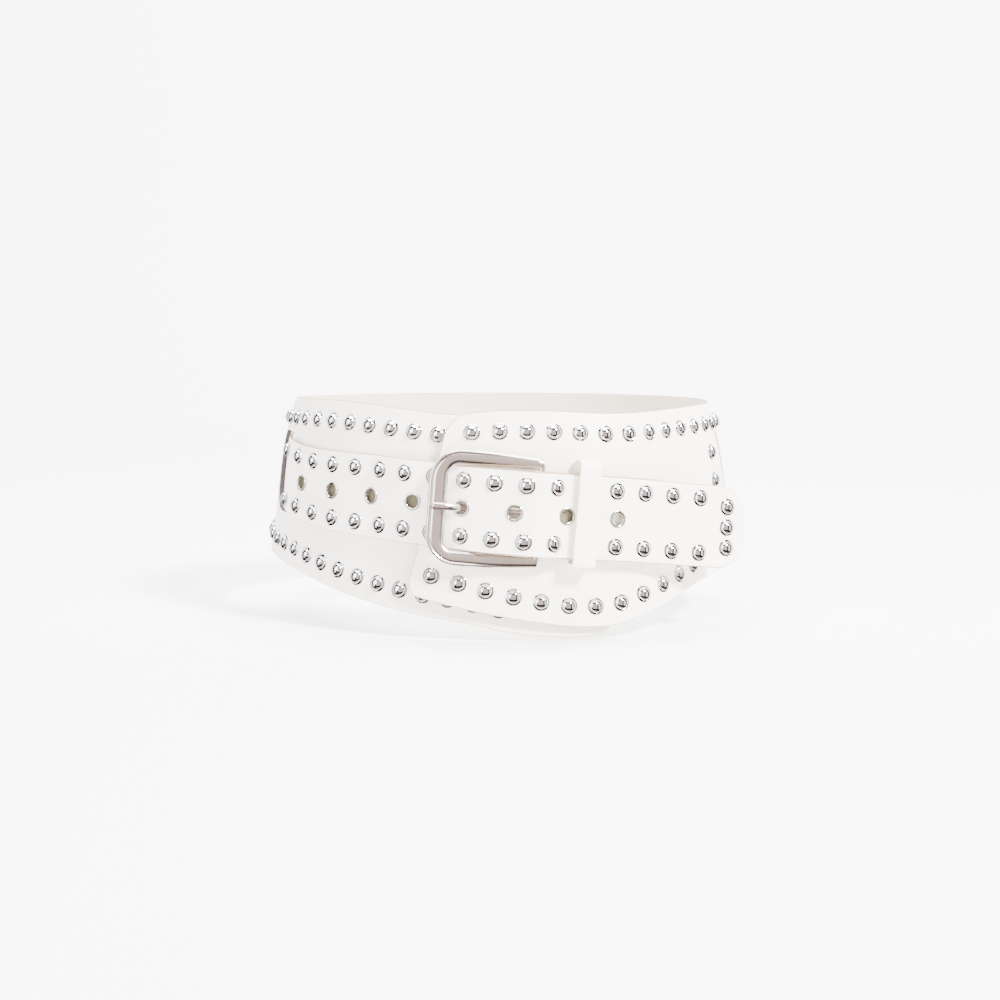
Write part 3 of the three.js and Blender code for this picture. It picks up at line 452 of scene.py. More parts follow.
def coated_leather(name, light, shade, roughness, grain_mm, grain_depth):
    """Polyurethane on a cloth back, embossed by a roller: an even, faintly pebbled satin skin."""
    material, tree, shader, place = start_material(name)
    cloud = add_node(tree, "ShaderNodeTexNoise", {"Scale": per_metre(38), "Detail": 3.0}, {"Vector": place})
    patches = add_node(tree, "ShaderNodeMapRange", {1: 0.35, 2: 0.7}, {0: cloud.outputs[0]})
    shades = {"data_type": "RGBA", 6: linear(light), 7: linear(shade)}
    tint = add_node(tree, "ShaderNodeMix", shades, {0: patches.outputs[0]})
    tree.links.new(tint.outputs[2], shader.inputs["Base Color"])
    # Pebbles of the embossing: half a millimetre on the real skin, drawn coarser so that they show
    pebbles = add_node(tree, "ShaderNodeTexVoronoi", {"Scale": per_metre(grain_mm)}, {"Vector": place})
    wander = add_node(tree, "ShaderNodeTexNoise", {"Scale": per_metre(7), "Detail": 4.0}, {"Vector": place})
    heights = {0: pebbles.outputs["Distance"], 2: wander.outputs[0]}
    relief = add_node(tree, "ShaderNodeMath", {"operation": "MULTIPLY_ADD", 1: 0.5}, heights)
    depth = {"Strength": grain_depth, "Distance": 0.12 * MM}
    bump = add_node(tree, "ShaderNodeBump", depth, {"Height": relief.outputs[0]})
    tree.links.new(bump.outputs[0], shader.inputs["Normal"])
    levels = {1: 0.3, 2: 0.7, 3: roughness - 0.04, 4: roughness + 0.06}
    gloss = add_node(tree, "ShaderNodeMapRange", levels, {0: wander.outputs[0]})
    tree.links.new(gloss.outputs[0], shader.inputs["Roughness"])
    shader.inputs["IOR"].default_value = 1.48
    return material


def fibrous(name, dark, light, size_mm, detail, strength, depth_mm, roughness):
    """Short matt fibres: one fine noise in the colour and in the relief."""
    material, tree, shader, place = start_material(name)
    noise = {"Scale": per_metre(size_mm), "Detail": detail}
    fibres = add_node(tree, "ShaderNodeTexNoise", noise, {"Vector": place}).outputs[0]
    shades = {"data_type": "RGBA", 6: linear(dark), 7: linear(light)}
    tint = add_node(tree, "ShaderNodeMix", shades, {0: fibres})
    tree.links.new(tint.outputs[2], shader.inputs["Base Color"])
    relief = {"Strength": strength, "Distance": depth_mm * MM}
    bump = add_node(tree, "ShaderNodeBump", relief, {"Height": fibres})
    tree.links.new(bump.outputs[0], shader.inputs["Normal"])
    shader.inputs["Roughness"].default_value = roughness
    return material


def plated_metal(name, colour, roughness, spread, scratch_mm, scratch_depth):
    """Plated base metal: mirror or satin by how it was tumbled, with fine handling marks."""
    material, tree, shader, place = start_material(name)
    shader.inputs["Base Color"].default_value = linear(colour)
    shader.inputs["Metallic"].default_value = 1.0
    scratches = {"Scale": per_metre(scratch_mm), "Detail": 5.0}
    marks = add_node(tree, "ShaderNodeTexNoise", scratches, {"Vector": place}).outputs[0]
    levels = {1: 0.3, 2: 0.7, 3: roughness - spread, 4: roughness + spread}
    gloss = add_node(tree, "ShaderNodeMapRange", levels, {0: marks})
    tree.links.new(gloss.outputs[0], shader.inputs["Roughness"])
    relief = {"Strength": scratch_depth, "Distance": 0.05 * MM}
    bump = add_node(tree, "ShaderNodeBump", relief, {"Height": marks})
    tree.links.new(bump.outputs[0], shader.inputs["Normal"])
    return material


IVORY = coated_leather("ivory_coated_leather", "#F8F1E6", "#F1E9DC", 0.42, 0.9, 0.18)
# Knit brushed by wire rollers, which the skin is cast on: matt, with a fine short nap
BACKING = fibrous("brushed_knit_backing", "#CFC6B8", "#E4DDD1", 1.4, 6.0, 0.5, 0.2, 0.9)
# Painted shade: a dark olive knit colour for the disc that closes some eyelet holes, standing in for the
# shade seen through them
HOLE_SHADE = fibrous("painted_hole_shade", "#4E4838", "#6C644D", 1.4, 6.0, 0.5, 0.2, 0.9)
# Leather board cut by a die: fibres show at the edge as fine streaks, matt and darker than the skin
EDGE_PAINT = fibrous("sealed_edge", "#8A745E", "#AD977F", 0.9, 5.0, 0.4, 0.15, 0.8)
RAW_EDGE = fibrous("raw_slot_edge", "#2B2526", "#4A4143", 0.9, 5.0, 0.4, 0.15, 0.8)
LEATHER_LAYERS = [IVORY, BACKING, EDGE_PAINT, RAW_EDGE]
EDGE_WIDTH = 0.6
CHROME = plated_metal("polished_chrome_plate", "#DCDCDE", 0.07, 0.02, 1.2, 0.05)
NICKEL = plated_metal("satin_nickel_plate", "#DCD2CC", 0.24, 0.02, 0.4, 0.02)
EYELET_NICKEL = plated_metal("bright_nickel_plate", "#CFCDC9", 0.16, 0.04, 0.8, 0.08)


# Mesh building

def make_piece(name, vertices, faces, materials, face_materials=None, sharp_degrees=50):
    mesh = bpy.data.meshes.new(name)
    mesh.from_pydata((np.asarray(vertices, float) * MM).tolist(), [], faces)
    for material in materials:
        mesh.materials.append(material)
    if face_materials is not None:
        mesh.polygons.foreach_set("material_index", face_materials)
    mesh.shade_smooth()
    mesh.set_sharp_from_angle(angle=math.radians(sharp_degrees))
    piece = bpy.data.objects.new(name, mesh)
    bpy.context.scene.collection.objects.link(piece)
    return piece


def stands_for(piece, slot, *nodes):
    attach(piece, "root")
    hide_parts(*nodes)
    return piece


def cut_away(piece, cutter):
    """Cuts one solid out of a piece; the cut takes the cutter's material."""
    modifier = piece.modifiers.new("cut", "BOOLEAN")
    modifier.operation = "DIFFERENCE"
    modifier.solver = "EXACT"
    modifier.material_mode = "TRANSFER"
    modifier.object = cutter
    bpy.context.view_layer.update()
    depsgraph = bpy.context.evaluated_depsgraph_get()
    mesh = bpy.data.meshes.new_from_object(piece.evaluated_get(depsgraph))
    piece.modifiers.clear()
    piece.data = mesh
    mesh.set_sharp_from_angle(angle=math.radians(50))
    bpy.data.objects.remove(cutter)


def sheet_faces(distance):
    """Quads and materials of a sheet whose two faces share the points of its outline.
    Materials by LEATHER_LAYERS: 0 the outer face, 1 the back, 2 the edge."""
    stations, levels = distance.shape
    outer = np.arange(stations * levels).reshape(stations, levels)
    inner = outer + stations * levels
    for side in (np.s_[0, :], np.s_[-1, :], np.s_[:, 0], np.s_[:, -1]):
        inner[side] = outer[side]

    def corner(grid, i, j):
        return grid[i : stations - 1 + i, j : levels - 1 + j].reshape(-1)

    front = np.stack([corner(outer, *at) for at in ((0, 0), (0, 1), (1, 1), (1, 0))], axis=1)
    back = np.stack([corner(inner, *at) for at in ((0, 0), (1, 0), (1, 1), (0, 1))], axis=1)
    reach = np.max([corner(distance, *at) for at in ((0, 0), (0, 1), (1, 1), (1, 0))], axis=0)
    edge = reach < EDGE_WIDTH
    kinds = np.concatenate([np.where(edge, 2, 0), np.where(edge, 2, 1)])
    return np.concatenate([front, back]).tolist(), kinds.tolist()


def leather_sheet(name, place, along, across, distance, thickness):
    """A sheet with round edges. place(along, across, off) gives points off its middle, and
    distance is how far each point of the grid is from the sheet's outline."""
    round_edge = thickness / 2
    inside = 1 - np.clip(distance / round_edge, 0, 1)
    half = round_edge * np.sqrt(1 - inside**2)
    vertices = np.concatenate([place(along, across, off).reshape(-1, 3) for off in (half, -half)])
    faces, kinds = sheet_faces(distance)
    piece = make_piece(name, vertices, faces, LEATHER_LAYERS, kinds, sharp_degrees=75)
    used = np.zeros(len(vertices), bool)
    used[np.array(faces).reshape(-1)] = True
    drop_unused(piece, used)
    return piece


def drop_unused(piece, used):
    """Takes out the points that no face uses."""
    work = bmesh.new()
    work.from_mesh(piece.data)
    work.verts.ensure_lookup_table()
    spare = [work.verts[i] for i in np.flatnonzero(~used).tolist()]
    bmesh.ops.delete(work, geom=spare, context="VERTS")
    work.to_mesh(piece.data)
    work.free()


def rim_steps(thickness):
    """Distances from an outline at which a round edge is drawn."""
    return thickness / 2 * (1 - np.cos(np.linspace(0, math.pi / 2, 6)))


def loft(rings, closed=False, caps=True):
    """Vertices and faces through rings of points, all the same way round."""
    count, sides = len(rings), len(rings[0])
    vertices = np.concatenate(rings)
    faces = []
    for i in range(count if closed else count - 1):
        after = (i + 1) % count
        for j in range(sides):
            beside = (j + 1) % sides
            faces.append((i * sides + j, i * sides + beside, after * sides + beside, after * sides + j))
    if not closed and caps:
        faces.append(tuple(reversed(range(sides))))
        faces.append(tuple(range((count - 1) * sides, count * sides)))
    return vertices, faces


def turned(profile, sides):
    """Rings of a turned shape round +Z: one ring for each (radius, height) of the profile."""
    turns = np.linspace(0, 2 * math.pi, sides, endpoint=False)
    return [np.stack([r * np.cos(turns), r * np.sin(turns), np.full(sides, h)], axis=1) for r, h in profile]


def placed(vertices, origin, axes):
    return np.asarray(origin) + np.asarray(vertices) @ np.asarray(axes)


# Wide band

def band_surface():
    rims = rim_steps(BAND_THICKNESS)
    corner = np.linspace(0, 1, 9)[1:]
    end_distances = np.concatenate([rims, rims[-1] + (OVER_TOP_CORNER - rims[-1]) * corner])
    span = (BAND_END - BAND_START) * FRONT_PER_DEGREE
    count = int((span - 2 * OVER_TOP_CORNER) / BAND_STATION_STEP)
    middle = np.linspace(OVER_TOP_CORNER, span - OVER_TOP_CORNER, count)[1:-1]
    runs = np.concatenate([end_distances, middle, (span - end_distances)[::-1]])
    turns = BAND_START + runs / FRONT_PER_DEGREE
    from_start = np.maximum(runs, 0)
    from_end = np.maximum(span - runs, 0)
    top_edge = BAND_HEIGHT * read_table(TOP_EDGE, turns)
    bottom_edge = BAND_HEIGHT * read_table(BOTTOM_EDGE, turns)
    start_drop = corner_drop(from_start, UNDER_CORNER)
    top = top_edge - start_drop - corner_drop(from_end, OVER_TOP_CORNER)
    bottom = bottom_edge + start_drop + corner_drop(from_end, OVER_BOTTOM_CORNER)
    inner = np.linspace(0, 1, BAND_LEVELS)
    levels = []
    for low, high in zip(bottom, top):
        body = low + rims[-1] + (high - low - 2 * rims[-1]) * inner
        levels.append(np.concatenate([low + rims[:-1], body, (high - rims[:-1])[::-1]]))
    level = np.array(levels)
    turn = np.repeat(turns[:, None], level.shape[1], axis=1)
    to_top = top_edge[:, None] - level
    to_bottom = level - bottom_edge[:, None]
    corners = [
        (to_top, from_start, UNDER_CORNER), (to_bottom, from_start, UNDER_CORNER),
        (to_top, from_end, OVER_TOP_CORNER), (to_bottom, from_end, OVER_BOTTOM_CORNER),
    ]
    distances = [corner_distance(side, end[:, None], radius) for side, end, radius in corners]
    return turn, level, np.maximum(np.minimum.reduce(distances), 0)


def band_place(turn, level, off):
    """Points of the band, by turn and level, off its middle: the free end leans."""
    top = BAND_HEIGHT * read_table(TOP_EDGE, turn)
    bottom = BAND_HEIGHT * read_table(BOTTOM_EDGE, turn)
    leaning = ease(turn, LEAN_START_TURN, BAND_END)
    lean = leaning * OVER_END_LEAN * (level - (top + bottom) / 2) / (top - bottom)
    lift = band_lift(turn) + BAND_THICKNESS / 2
    return on_waist(lean - turn, level, lift + off)


def stud_row(start, end, edge, pitch):
    """Seats of a row of studs, evenly spaced from a start turn to the middle of the back."""
    table = TOP_EDGE if edge == "top" else BOTTOM_EDGE
    inset = -BAND_STUD_INSET if edge == "top" else BAND_STUD_INSET
    turns = np.arange(start, end, 0.1 if end > start else -0.1)
    heights = BAND_HEIGHT * read_table(table, turns) + inset
    points = on_waist(-turns, heights, band_lift(turns) + BAND_THICKNESS)
    runs = np.concatenate([[0], np.cumsum(np.linalg.norm(np.diff(points, axis=0), axis=1))])
    count = round(runs[-1] / pitch - 0.5)
    even = runs[-1] / (count + 0.5)
    picked = np.searchsorted(runs, np.arange(count + 1) * even)
    return [(turns[i], heights[i]) for i in picked]


def band_stud_seats():
    seats = []
    for start, edge, pitch in STUD_ROWS:
        seats += stud_row(start, BACK_TURN, edge, pitch)
    column_turn = 360 - COLUMN_STUD_ANGLE
    top = BAND_HEIGHT * float(read_table(TOP_EDGE, column_turn)) - BAND_STUD_INSET
    seats += [(column_turn, top - i * COLUMN_STUD_PITCH) for i in range(1, COLUMN_STUD_COUNT + 1)]
    return seats


def slot_cutter(angle, width, middle, height):
    per_degree = float(mm_per_degree(angle, middle, 0))
    backwards = math.copysign(width, angle) / 2 / per_degree
    lean = math.tan(float(strap_lean(SLOT_ANGLE))) / per_degree
    columns = SLOT_OUTLINE if angle < 0 else SLOT_OUTLINE[::-1]
    rows = np.linspace(-1, 1, 9)
    outer, inner = [], []
    for grid, lift in ((outer, 2 * BAND_THICKNESS), (inner, -BAND_THICKNESS)):
        for across, half in columns:
            rise = rows * half * height / 2
            grid.append(on_waist(angle + across * backwards + rise * lean, middle + rise, lift))
    count, levels = len(columns), len(rows)
    faces = []

    def at(side, i, j):
        return side * count * levels + i * levels + j

    for i in range(count - 1):
        for j in range(levels - 1):
            faces.append((at(0, i, j), at(0, i, j + 1), at(0, i + 1, j + 1), at(0, i + 1, j)))
            faces.append((at(1, i, j), at(1, i + 1, j), at(1, i + 1, j + 1), at(1, i, j + 1)))
        last = levels - 1
        faces.append((at(0, i, last), at(1, i, last), at(1, i + 1, last), at(0, i + 1, last)))
        faces.append((at(0, i, 0), at(0, i + 1, 0), at(1, i + 1, 0), at(1, i, 0)))
    for j in range(levels - 1):
        end = count - 1
        faces.append((at(0, 0, j), at(1, 0, j), at(1, 0, j + 1), at(0, 0, j + 1)))
        faces.append((at(0, end, j), at(0, end, j + 1), at(1, end, j + 1), at(1, end, j)))
    return make_piece("slot_cutter", np.concatenate(outer + inner), faces, [RAW_EDGE])


def make_band():
    turn, level, distance = band_surface()
    band = leather_sheet("band_leather", band_place, turn, level, distance, BAND_THICKNESS)
    middle = float(strap_height(SLOT_ANGLE))
    height = float(strap_width_at(SLOT_ANGLE)) + 2 * SLOT_MARGIN
    cut_away(band, slot_cutter(SLOT_ANGLE, SLOT_WIDTH, middle, height))
    cut_away(band, slot_cutter(RIGHT_SLOT_ANGLE, RIGHT_SLOT_WIDTH, middle, height))
    stands_for(band, "ivory_leather", "wide_band")


# Studs and eyelets

def stud_shape():
    """A pressed stud: a thin round flange and a smooth dome."""
    flange = [
        (0.02, -0.25),
        (STUD_RADIUS - 0.15, -0.25),
        (STUD_RADIUS, -0.05),
        (STUD_RADIUS - 0.02, 0.1),
        (STUD_RADIUS - 0.12, 0.2),
        (STUD_DOME_RADIUS + 0.3, STUD_FLANGE),
        (STUD_DOME_RADIUS + 0.08, STUD_FLANGE * 0.85),
    ]
    turns = np.linspace(0, math.pi / 2, 10)[:-1]
    dome = [(STUD_DOME_RADIUS * math.cos(t), STUD_FLANGE + STUD_DOME_RISE * math.sin(t)) for t in turns]
    dome.append((0.02, STUD_FLANGE + STUD_DOME_RISE))
    return loft(turned(flange + dome, STUD_SIDES))


def make_band_studs():
    shape, shape_faces = stud_shape()
    vertices, faces = [], []
    for turn, height in band_stud_seats():
        lift = float(band_lift(turn)) + BAND_THICKNESS
        base = sum(len(part) for part in vertices)
        vertices.append(placed(shape, on_waist(-turn, height, lift), axes_at(-turn, height, lift)))
        faces += [tuple(base + corner for corner in face) for face in shape_faces]
    studs = make_piece("band_studs", np.concatenate(vertices), faces, [CHROME], sharp_degrees=40)
    stands_for(studs, "stud_chrome", "wide_band")


def make_strap_stud(name, node, run, across):
    shape, faces = stud_shape()
    vertices = placed(shape, strap_point(run, across, HALF_STRAP), strap_axes(run))
    stud = make_piece(name, vertices, faces, [CHROME], sharp_degrees=40)
    stands_for(stud, "stud_chrome", node)


def make_strap_studs():
    for index in range(STRAP_STUD_COLUMNS):
        place = index - COLUMNS_BEHIND_PRONG
        run = PRONG_HOLE_RUN + place * (SLOT_SIDE_STUD_PITCH if place < 0 else STRAP_STUD_PITCH)
        width = float(strap_width_at(angle_at_run(min(run, STRAP_LEAVE_RUN))))
        across = STRAP_STUD_ROW_GAP / 2 * width / STRAP_WIDTH
        make_strap_stud(f"upper_stud_{index + 1}", f"strap_stud_upper_{index + 1}", run, across)
        make_strap_stud(f"lower_stud_{index + 1}", f"strap_stud_lower_{index + 1}", run, -across)
    for number, across in enumerate((-TIP_STUD_PITCH, 0, TIP_STUD_PITCH), 1):
        make_strap_stud(f"end_stud_{number}", f"tip_stud_{number}", TIP_STUD_RUN, across)


def make_eyelets():
    """Rolled eyelets: a barrel through the strap and a rim rolled over on its face."""
    barrel = EYELET_HOLE_RADIUS + EYELET_BARREL_WALL
    turns = np.linspace(math.pi, 0.15, 11)
    centre = (EYELET_HOLE_RADIUS + EYELET_RIM_RADIUS) / 2
    reach = (EYELET_RIM_RADIUS - EYELET_HOLE_RADIUS) / 2
    rim = [(centre + reach * math.cos(t), HALF_STRAP + 0.12 + 0.62 * math.sin(t)) for t in turns]
    profile = [(EYELET_HOLE_RADIUS, -HALF_STRAP), *rim, (EYELET_RIM_RADIUS, HALF_STRAP - 0.02)]
    profile += [(barrel, HALF_STRAP - 0.02), (barrel, -HALF_STRAP)]
    for index, run in enumerate(EYELET_RUNS):
        rings = turned(profile, EYELET_SIDES)
        vertices, faces = loft(rings, closed=True)
        kinds = [0] * len(faces)
        # A dark disc low in the barrel: painted shade for the dim gap seen through the hole
        if index in SHADED_EYELETS:
            base = len(vertices)
            disc = turned([(barrel, HOLE_SHADE_LIFT - HALF_STRAP)], EYELET_SIDES)[0]
            vertices = np.concatenate([vertices, disc])
            faces.append(tuple(range(base, base + EYELET_SIDES)))
            kinds.append(1)
        vertices = placed(vertices, strap_point(run, 0, 0), strap_axes(run))
        name = f"eyelet_{index + 1}"
        materials = [EYELET_NICKEL, HOLE_SHADE]
        eyelet = make_piece(f"rolled_{name}", vertices, faces, materials, kinds, sharp_degrees=60)
        stands_for(eyelet, "eyelet_nickel", name)


# Straps

def make_strap():
    rims = rim_steps(STRAP_THICKNESS)
    corner = np.linspace(0, 1, 10)[1:]
    tip = np.concatenate([rims, rims[-1] + (STRAP_TIP_CORNER - rims[-1]) * corner])
    length = STRAP_TIP_RUN - STRAP_END_RUN
    middle = np.linspace(tip[-1], length - rims[-1], int(length / 1.7))[1:-1]
    from_tip = np.concatenate([tip, middle, (length - rims)[::-1]])
    runs = STRAP_TIP_RUN - from_tip
    half = strap_width_at(angle_at_run(np.minimum(runs, STRAP_LEAVE_RUN))) / 2
    limit = half - corner_drop(from_tip, STRAP_TIP_CORNER)
    inner = np.linspace(-1, 1, 25)
    across = np.array(
        [np.concatenate([-w + rims[:-1], (w - rims[-1]) * inner, (w - rims[:-1])[::-1]]) for w in limit]
    )
    run = np.repeat(runs[:, None], across.shape[1], axis=1)
    side = half[:, None] - np.abs(across)
    distance = corner_distance(side, from_tip[:, None], STRAP_TIP_CORNER)
    distance = np.maximum(np.minimum(distance, length - from_tip[:, None]), 0)
    strap = leather_sheet("strap_leather", strap_point, run, across, distance, STRAP_THICKNESS)
    for hole_run in EYELET_RUNS:
        hole = EYELET_HOLE_RADIUS + EYELET_BARREL_WALL + HOLE_CLEARANCE
        rings = turned([(hole, -3), (hole, 3)], EYELET_SIDES)
        vertices, faces = loft(rings)
        vertices = placed(vertices, strap_point(hole_run, 0, 0), strap_axes(hole_run))
        cut_away(strap, make_piece("hole_cutter", vertices, faces, [RAW_EDGE]))
    stands_for(strap, "ivory_leather", "belt_strap")


# Buckle

def buckle_axes():
    bar = on_waist(BAR_ANGLE, strap_height(BAR_ANGLE), BAR_LIFT)
    far = on_waist(FRAME_BAR_ANGLE, strap_height(FRAME_BAR_ANGLE), FRAME_LIFT)
    along = unit(bar - far)
    middle = (BAR_ANGLE + FRAME_BAR_ANGLE) / 2
    guide = axes_at(middle, float(strap_height(middle)), BAR_LIFT)
    out = unit(np.cross(along, guide[1]))
    return bar, np.array([along, np.cross(out, along), out])


BUCKLE_BAR, BUCKLE_AXES = buckle_axes()


def along_buckle(point):
    offset = (point - BUCKLE_BAR) @ BUCKLE_AXES.T
    return float(offset[0]), float(offset[2])


def frame_sections():
    """Inner edge, outer edge and roundness of the frame, from an arm's end to the middle bar."""
    inner_half = STRAP_WIDTH / 2 + LOOSE_GAP
    outer_half = inner_half + FRAME_ARM_WIDTH
    inner_left = -FRAME_LENGTH + FRAME_BAR_WIDTH / 2
    outer_left = -FRAME_LENGTH - FRAME_BAR_WIDTH / 2
    arm_start = inner_left + FRAME_INNER_CORNER
    sections = []
    for share in np.linspace(0, 0.9, 12):
        x = FRAME_ARM_OVERRUN + (arm_start - FRAME_ARM_OVERRUN) * share
        grown = min(1, share * 1.6)
        width = FRAME_ARM_END_WIDTH + (FRAME_ARM_WIDTH - FRAME_ARM_END_WIDTH) * grown
        outer_x = FRAME_ARM_OVERRUN + (outer_left + FRAME_OUTER_CORNER - FRAME_ARM_OVERRUN) * share
        sections.append(((x, inner_half), (outer_x, inner_half + width), float(ease(share, 0.35, 1.0))))
    for turn in np.linspace(0, math.pi / 2, 15):
        inner = (
            inner_left + FRAME_INNER_CORNER * (1 - math.sin(turn)),
            inner_half - FRAME_INNER_CORNER * (1 - math.cos(turn)),
        )
        outer = (
            outer_left + FRAME_OUTER_CORNER * (1 - math.sin(turn)),
            outer_half - FRAME_OUTER_CORNER * (1 - math.cos(turn)),
        )
        sections.append((inner, outer, 1.0))
    lower = [((a, -b), (c, -d), flat) for (a, b), (c, d), flat in sections[::-1]]
    return sections + lower


# Cross-section of the cast frame from its inner edge outwards: (share across, share out).
# A sloping inner bevel, a rounded face, a groove and a raised round rim.
CAST_SECTION = [
    (-1.0, -0.4), (-0.99, -0.1), (-0.92, 0.2), (-0.8, 0.46), (-0.66, 0.64), (-0.5, 0.78),
    (-0.32, 0.87), (-0.14, 0.92), (0.04, 0.94), (0.2, 0.92), (0.36, 0.86), (0.47, 0.72),
    (0.54, 0.7), (0.62, 0.86), (0.74, 1.0), (0.88, 0.86), (0.97, 0.5), (1.0, 0.0),
    (0.95, -0.5), (0.75, -0.88), (0.4, -1.0), (0.0, -1.0), (-0.5, -1.0), (-0.85, -0.8),
]


def section_ring(inner, outer, flat, scale=1.0):
    """One ring of the frame: a round bar at the arms' ends, the cast section elsewhere."""
    closed = CAST_SECTION + CAST_SECTION[:1]
    rows = [(i, across) for i, (across, out) in enumerate(closed)]
    outs = [(i, out) for i, (across, out) in enumerate(closed)]
    at = np.linspace(0, len(CAST_SECTION), 48, endpoint=False)
    across, out = read_table(rows, at), read_table(outs, at)
    turn = np.arctan2(out, across)
    round_across, round_out = np.cos(turn), np.sin(turn) * 0.96
    across = scale * (flat * across + (1 - flat) * round_across)
    out = scale * (flat * out + (1 - flat) * round_out) * FRAME_THICKNESS / 2
    x = (inner[0] + outer[0]) / 2 + (outer[0] - inner[0]) / 2 * across
    y = (inner[1] + outer[1]) / 2 + (outer[1] - inner[1]) / 2 * across
    return placed(np.stack([x, y, out], axis=1), BUCKLE_BAR, BUCKLE_AXES)


def make_frame():
    sections = frame_sections()
    rings = [section_ring(inner, outer, flat) for inner, outer, flat in sections]
    first, last = [
        section_ring((ix + ARM_END_ROUND, iy), (ox + ARM_END_ROUND, oy), flat, ARM_END_SCALE)
        for (ix, iy), (ox, oy), flat in (sections[0], sections[-1])
    ]
    vertices, faces = loft([ring[::-1] for ring in [first, *rings, last]])
    half_bar = (STRAP_WIDTH + 2 * LOOSE_GAP + FRAME_ARM_END_WIDTH) / 2
    turns = np.linspace(0, 2 * math.pi, HINGE_BAR_SIDES, endpoint=False)
    bar_rings = []
    for across in (-half_bar, half_bar):
        x, z = HINGE_BAR_RADIUS * np.cos(turns), HINGE_BAR_RADIUS * np.sin(turns)
        points = np.stack([x, np.full(HINGE_BAR_SIDES, across), z], axis=1)
        bar_rings.append(placed(points, BUCKLE_BAR, BUCKLE_AXES))
    bar_vertices, bar_faces = loft(bar_rings)
    faces = faces + [tuple(len(vertices) + corner for corner in face) for face in bar_faces]
    piece = make_piece("cast_frame", np.concatenate([vertices, bar_vertices]), faces, [NICKEL])
    stands_for(piece, "buckle_nickel", "buckle_frame")


def smooth_line(points, count):
    """A smooth line through points, read at even steps."""
    points = np.array(points, float)
    lengths = np.concatenate([[0], np.cumsum(np.linalg.norm(np.diff(points, axis=0), axis=1))])
    at = np.linspace(0, lengths[-1], count)
    return np.stack([read_table(list(zip(lengths, column)), at) for column in points.T], axis=1)


def prong_line():
    hole_along, hole_out = along_buckle(strap_point(PRONG_HOLE_RUN, 0, 0))
    over = FRAME_THICKNESS / 2 + REST_GAP + PRONG_THICKNESS / 2

    def lowest(along):
        angle = BAR_ANGLE + along / FRONT_PER_DEGREE
        lift = LAP_TOP + REST_GAP + PRONG_THICKNESS / 2
        return along, along_buckle(on_waist(angle, float(strap_height(angle)), lift))[1] + 0.1

    return [
        (-HINGE_BAR_RADIUS - REST_GAP - 0.8, 0),
        (hole_along * PRONG_ROOT_SHARE, -PRONG_ROOT_DROP),
        lowest(hole_along + PRONG_LOW_REACH[0]),
        lowest(hole_along + PRONG_LOW_REACH[1]),
        (hole_along, hole_out),
        (hole_along - PRONG_RISE[0], hole_out + PRONG_RISE[1]),
        (-FRAME_LENGTH + FRAME_BAR_WIDTH / 2, over),
        (-FRAME_LENGTH, over),
        (-FRAME_LENGTH - FRAME_BAR_WIDTH / 2 + PRONG_TIP_INSET, over - PRONG_TIP_DROP),
    ]


def make_prong():
    line = smooth_line(prong_line(), 90)
    ahead = unit(np.gradient(line, axis=0))
    side = np.stack([-ahead[:, 1], ahead[:, 0]], axis=1)
    run = np.concatenate([[0], np.cumsum(np.linalg.norm(np.diff(line, axis=0), axis=1))])
    left = run[-1] - run
    turns = np.linspace(0, 2 * math.pi, 20, endpoint=False)
    rings = []
    for i, middle in enumerate(line):
        tip = math.sqrt(max(1 - max(1 - left[i] / PRONG_TIP_ROUND, 0) ** 2, 0.02))
        across = tip * PRONG_WIDTH / 2 * np.cos(turns)
        out = tip * PRONG_THICKNESS / 2 * np.sin(turns)
        points = np.stack([middle[0] + side[i][0] * out, across, middle[1] + side[i][1] * out], axis=1)
        rings.append(placed(points, BUCKLE_BAR, BUCKLE_AXES))
    vertices, faces = loft(rings)
    half, eye_inner = PRONG_EYE_WIDTH / 2, HINGE_BAR_RADIUS + REST_GAP
    eye_outer = eye_inner + PRONG_EYE_WALL
    profile = [(eye_inner, -half), (eye_outer - 0.3, -half), (eye_outer, -half + 0.3)]
    profile += [(eye_outer, half - 0.3), (eye_outer - 0.3, half), (eye_inner, half)]
    eye_rings = []
    for ring in turned(profile, 28):
        eye_rings.append(placed(ring[:, [1, 2, 0]], BUCKLE_BAR, BUCKLE_AXES))
    eye_vertices, eye_faces = loft(eye_rings, closed=True)
    faces = faces + [tuple(len(vertices) + corner for corner in face) for face in eye_faces]
    piece = make_piece("bent_prong", np.concatenate([vertices, eye_vertices]), faces, [NICKEL])
    stands_for(piece, "buckle_nickel", "buckle_prong")


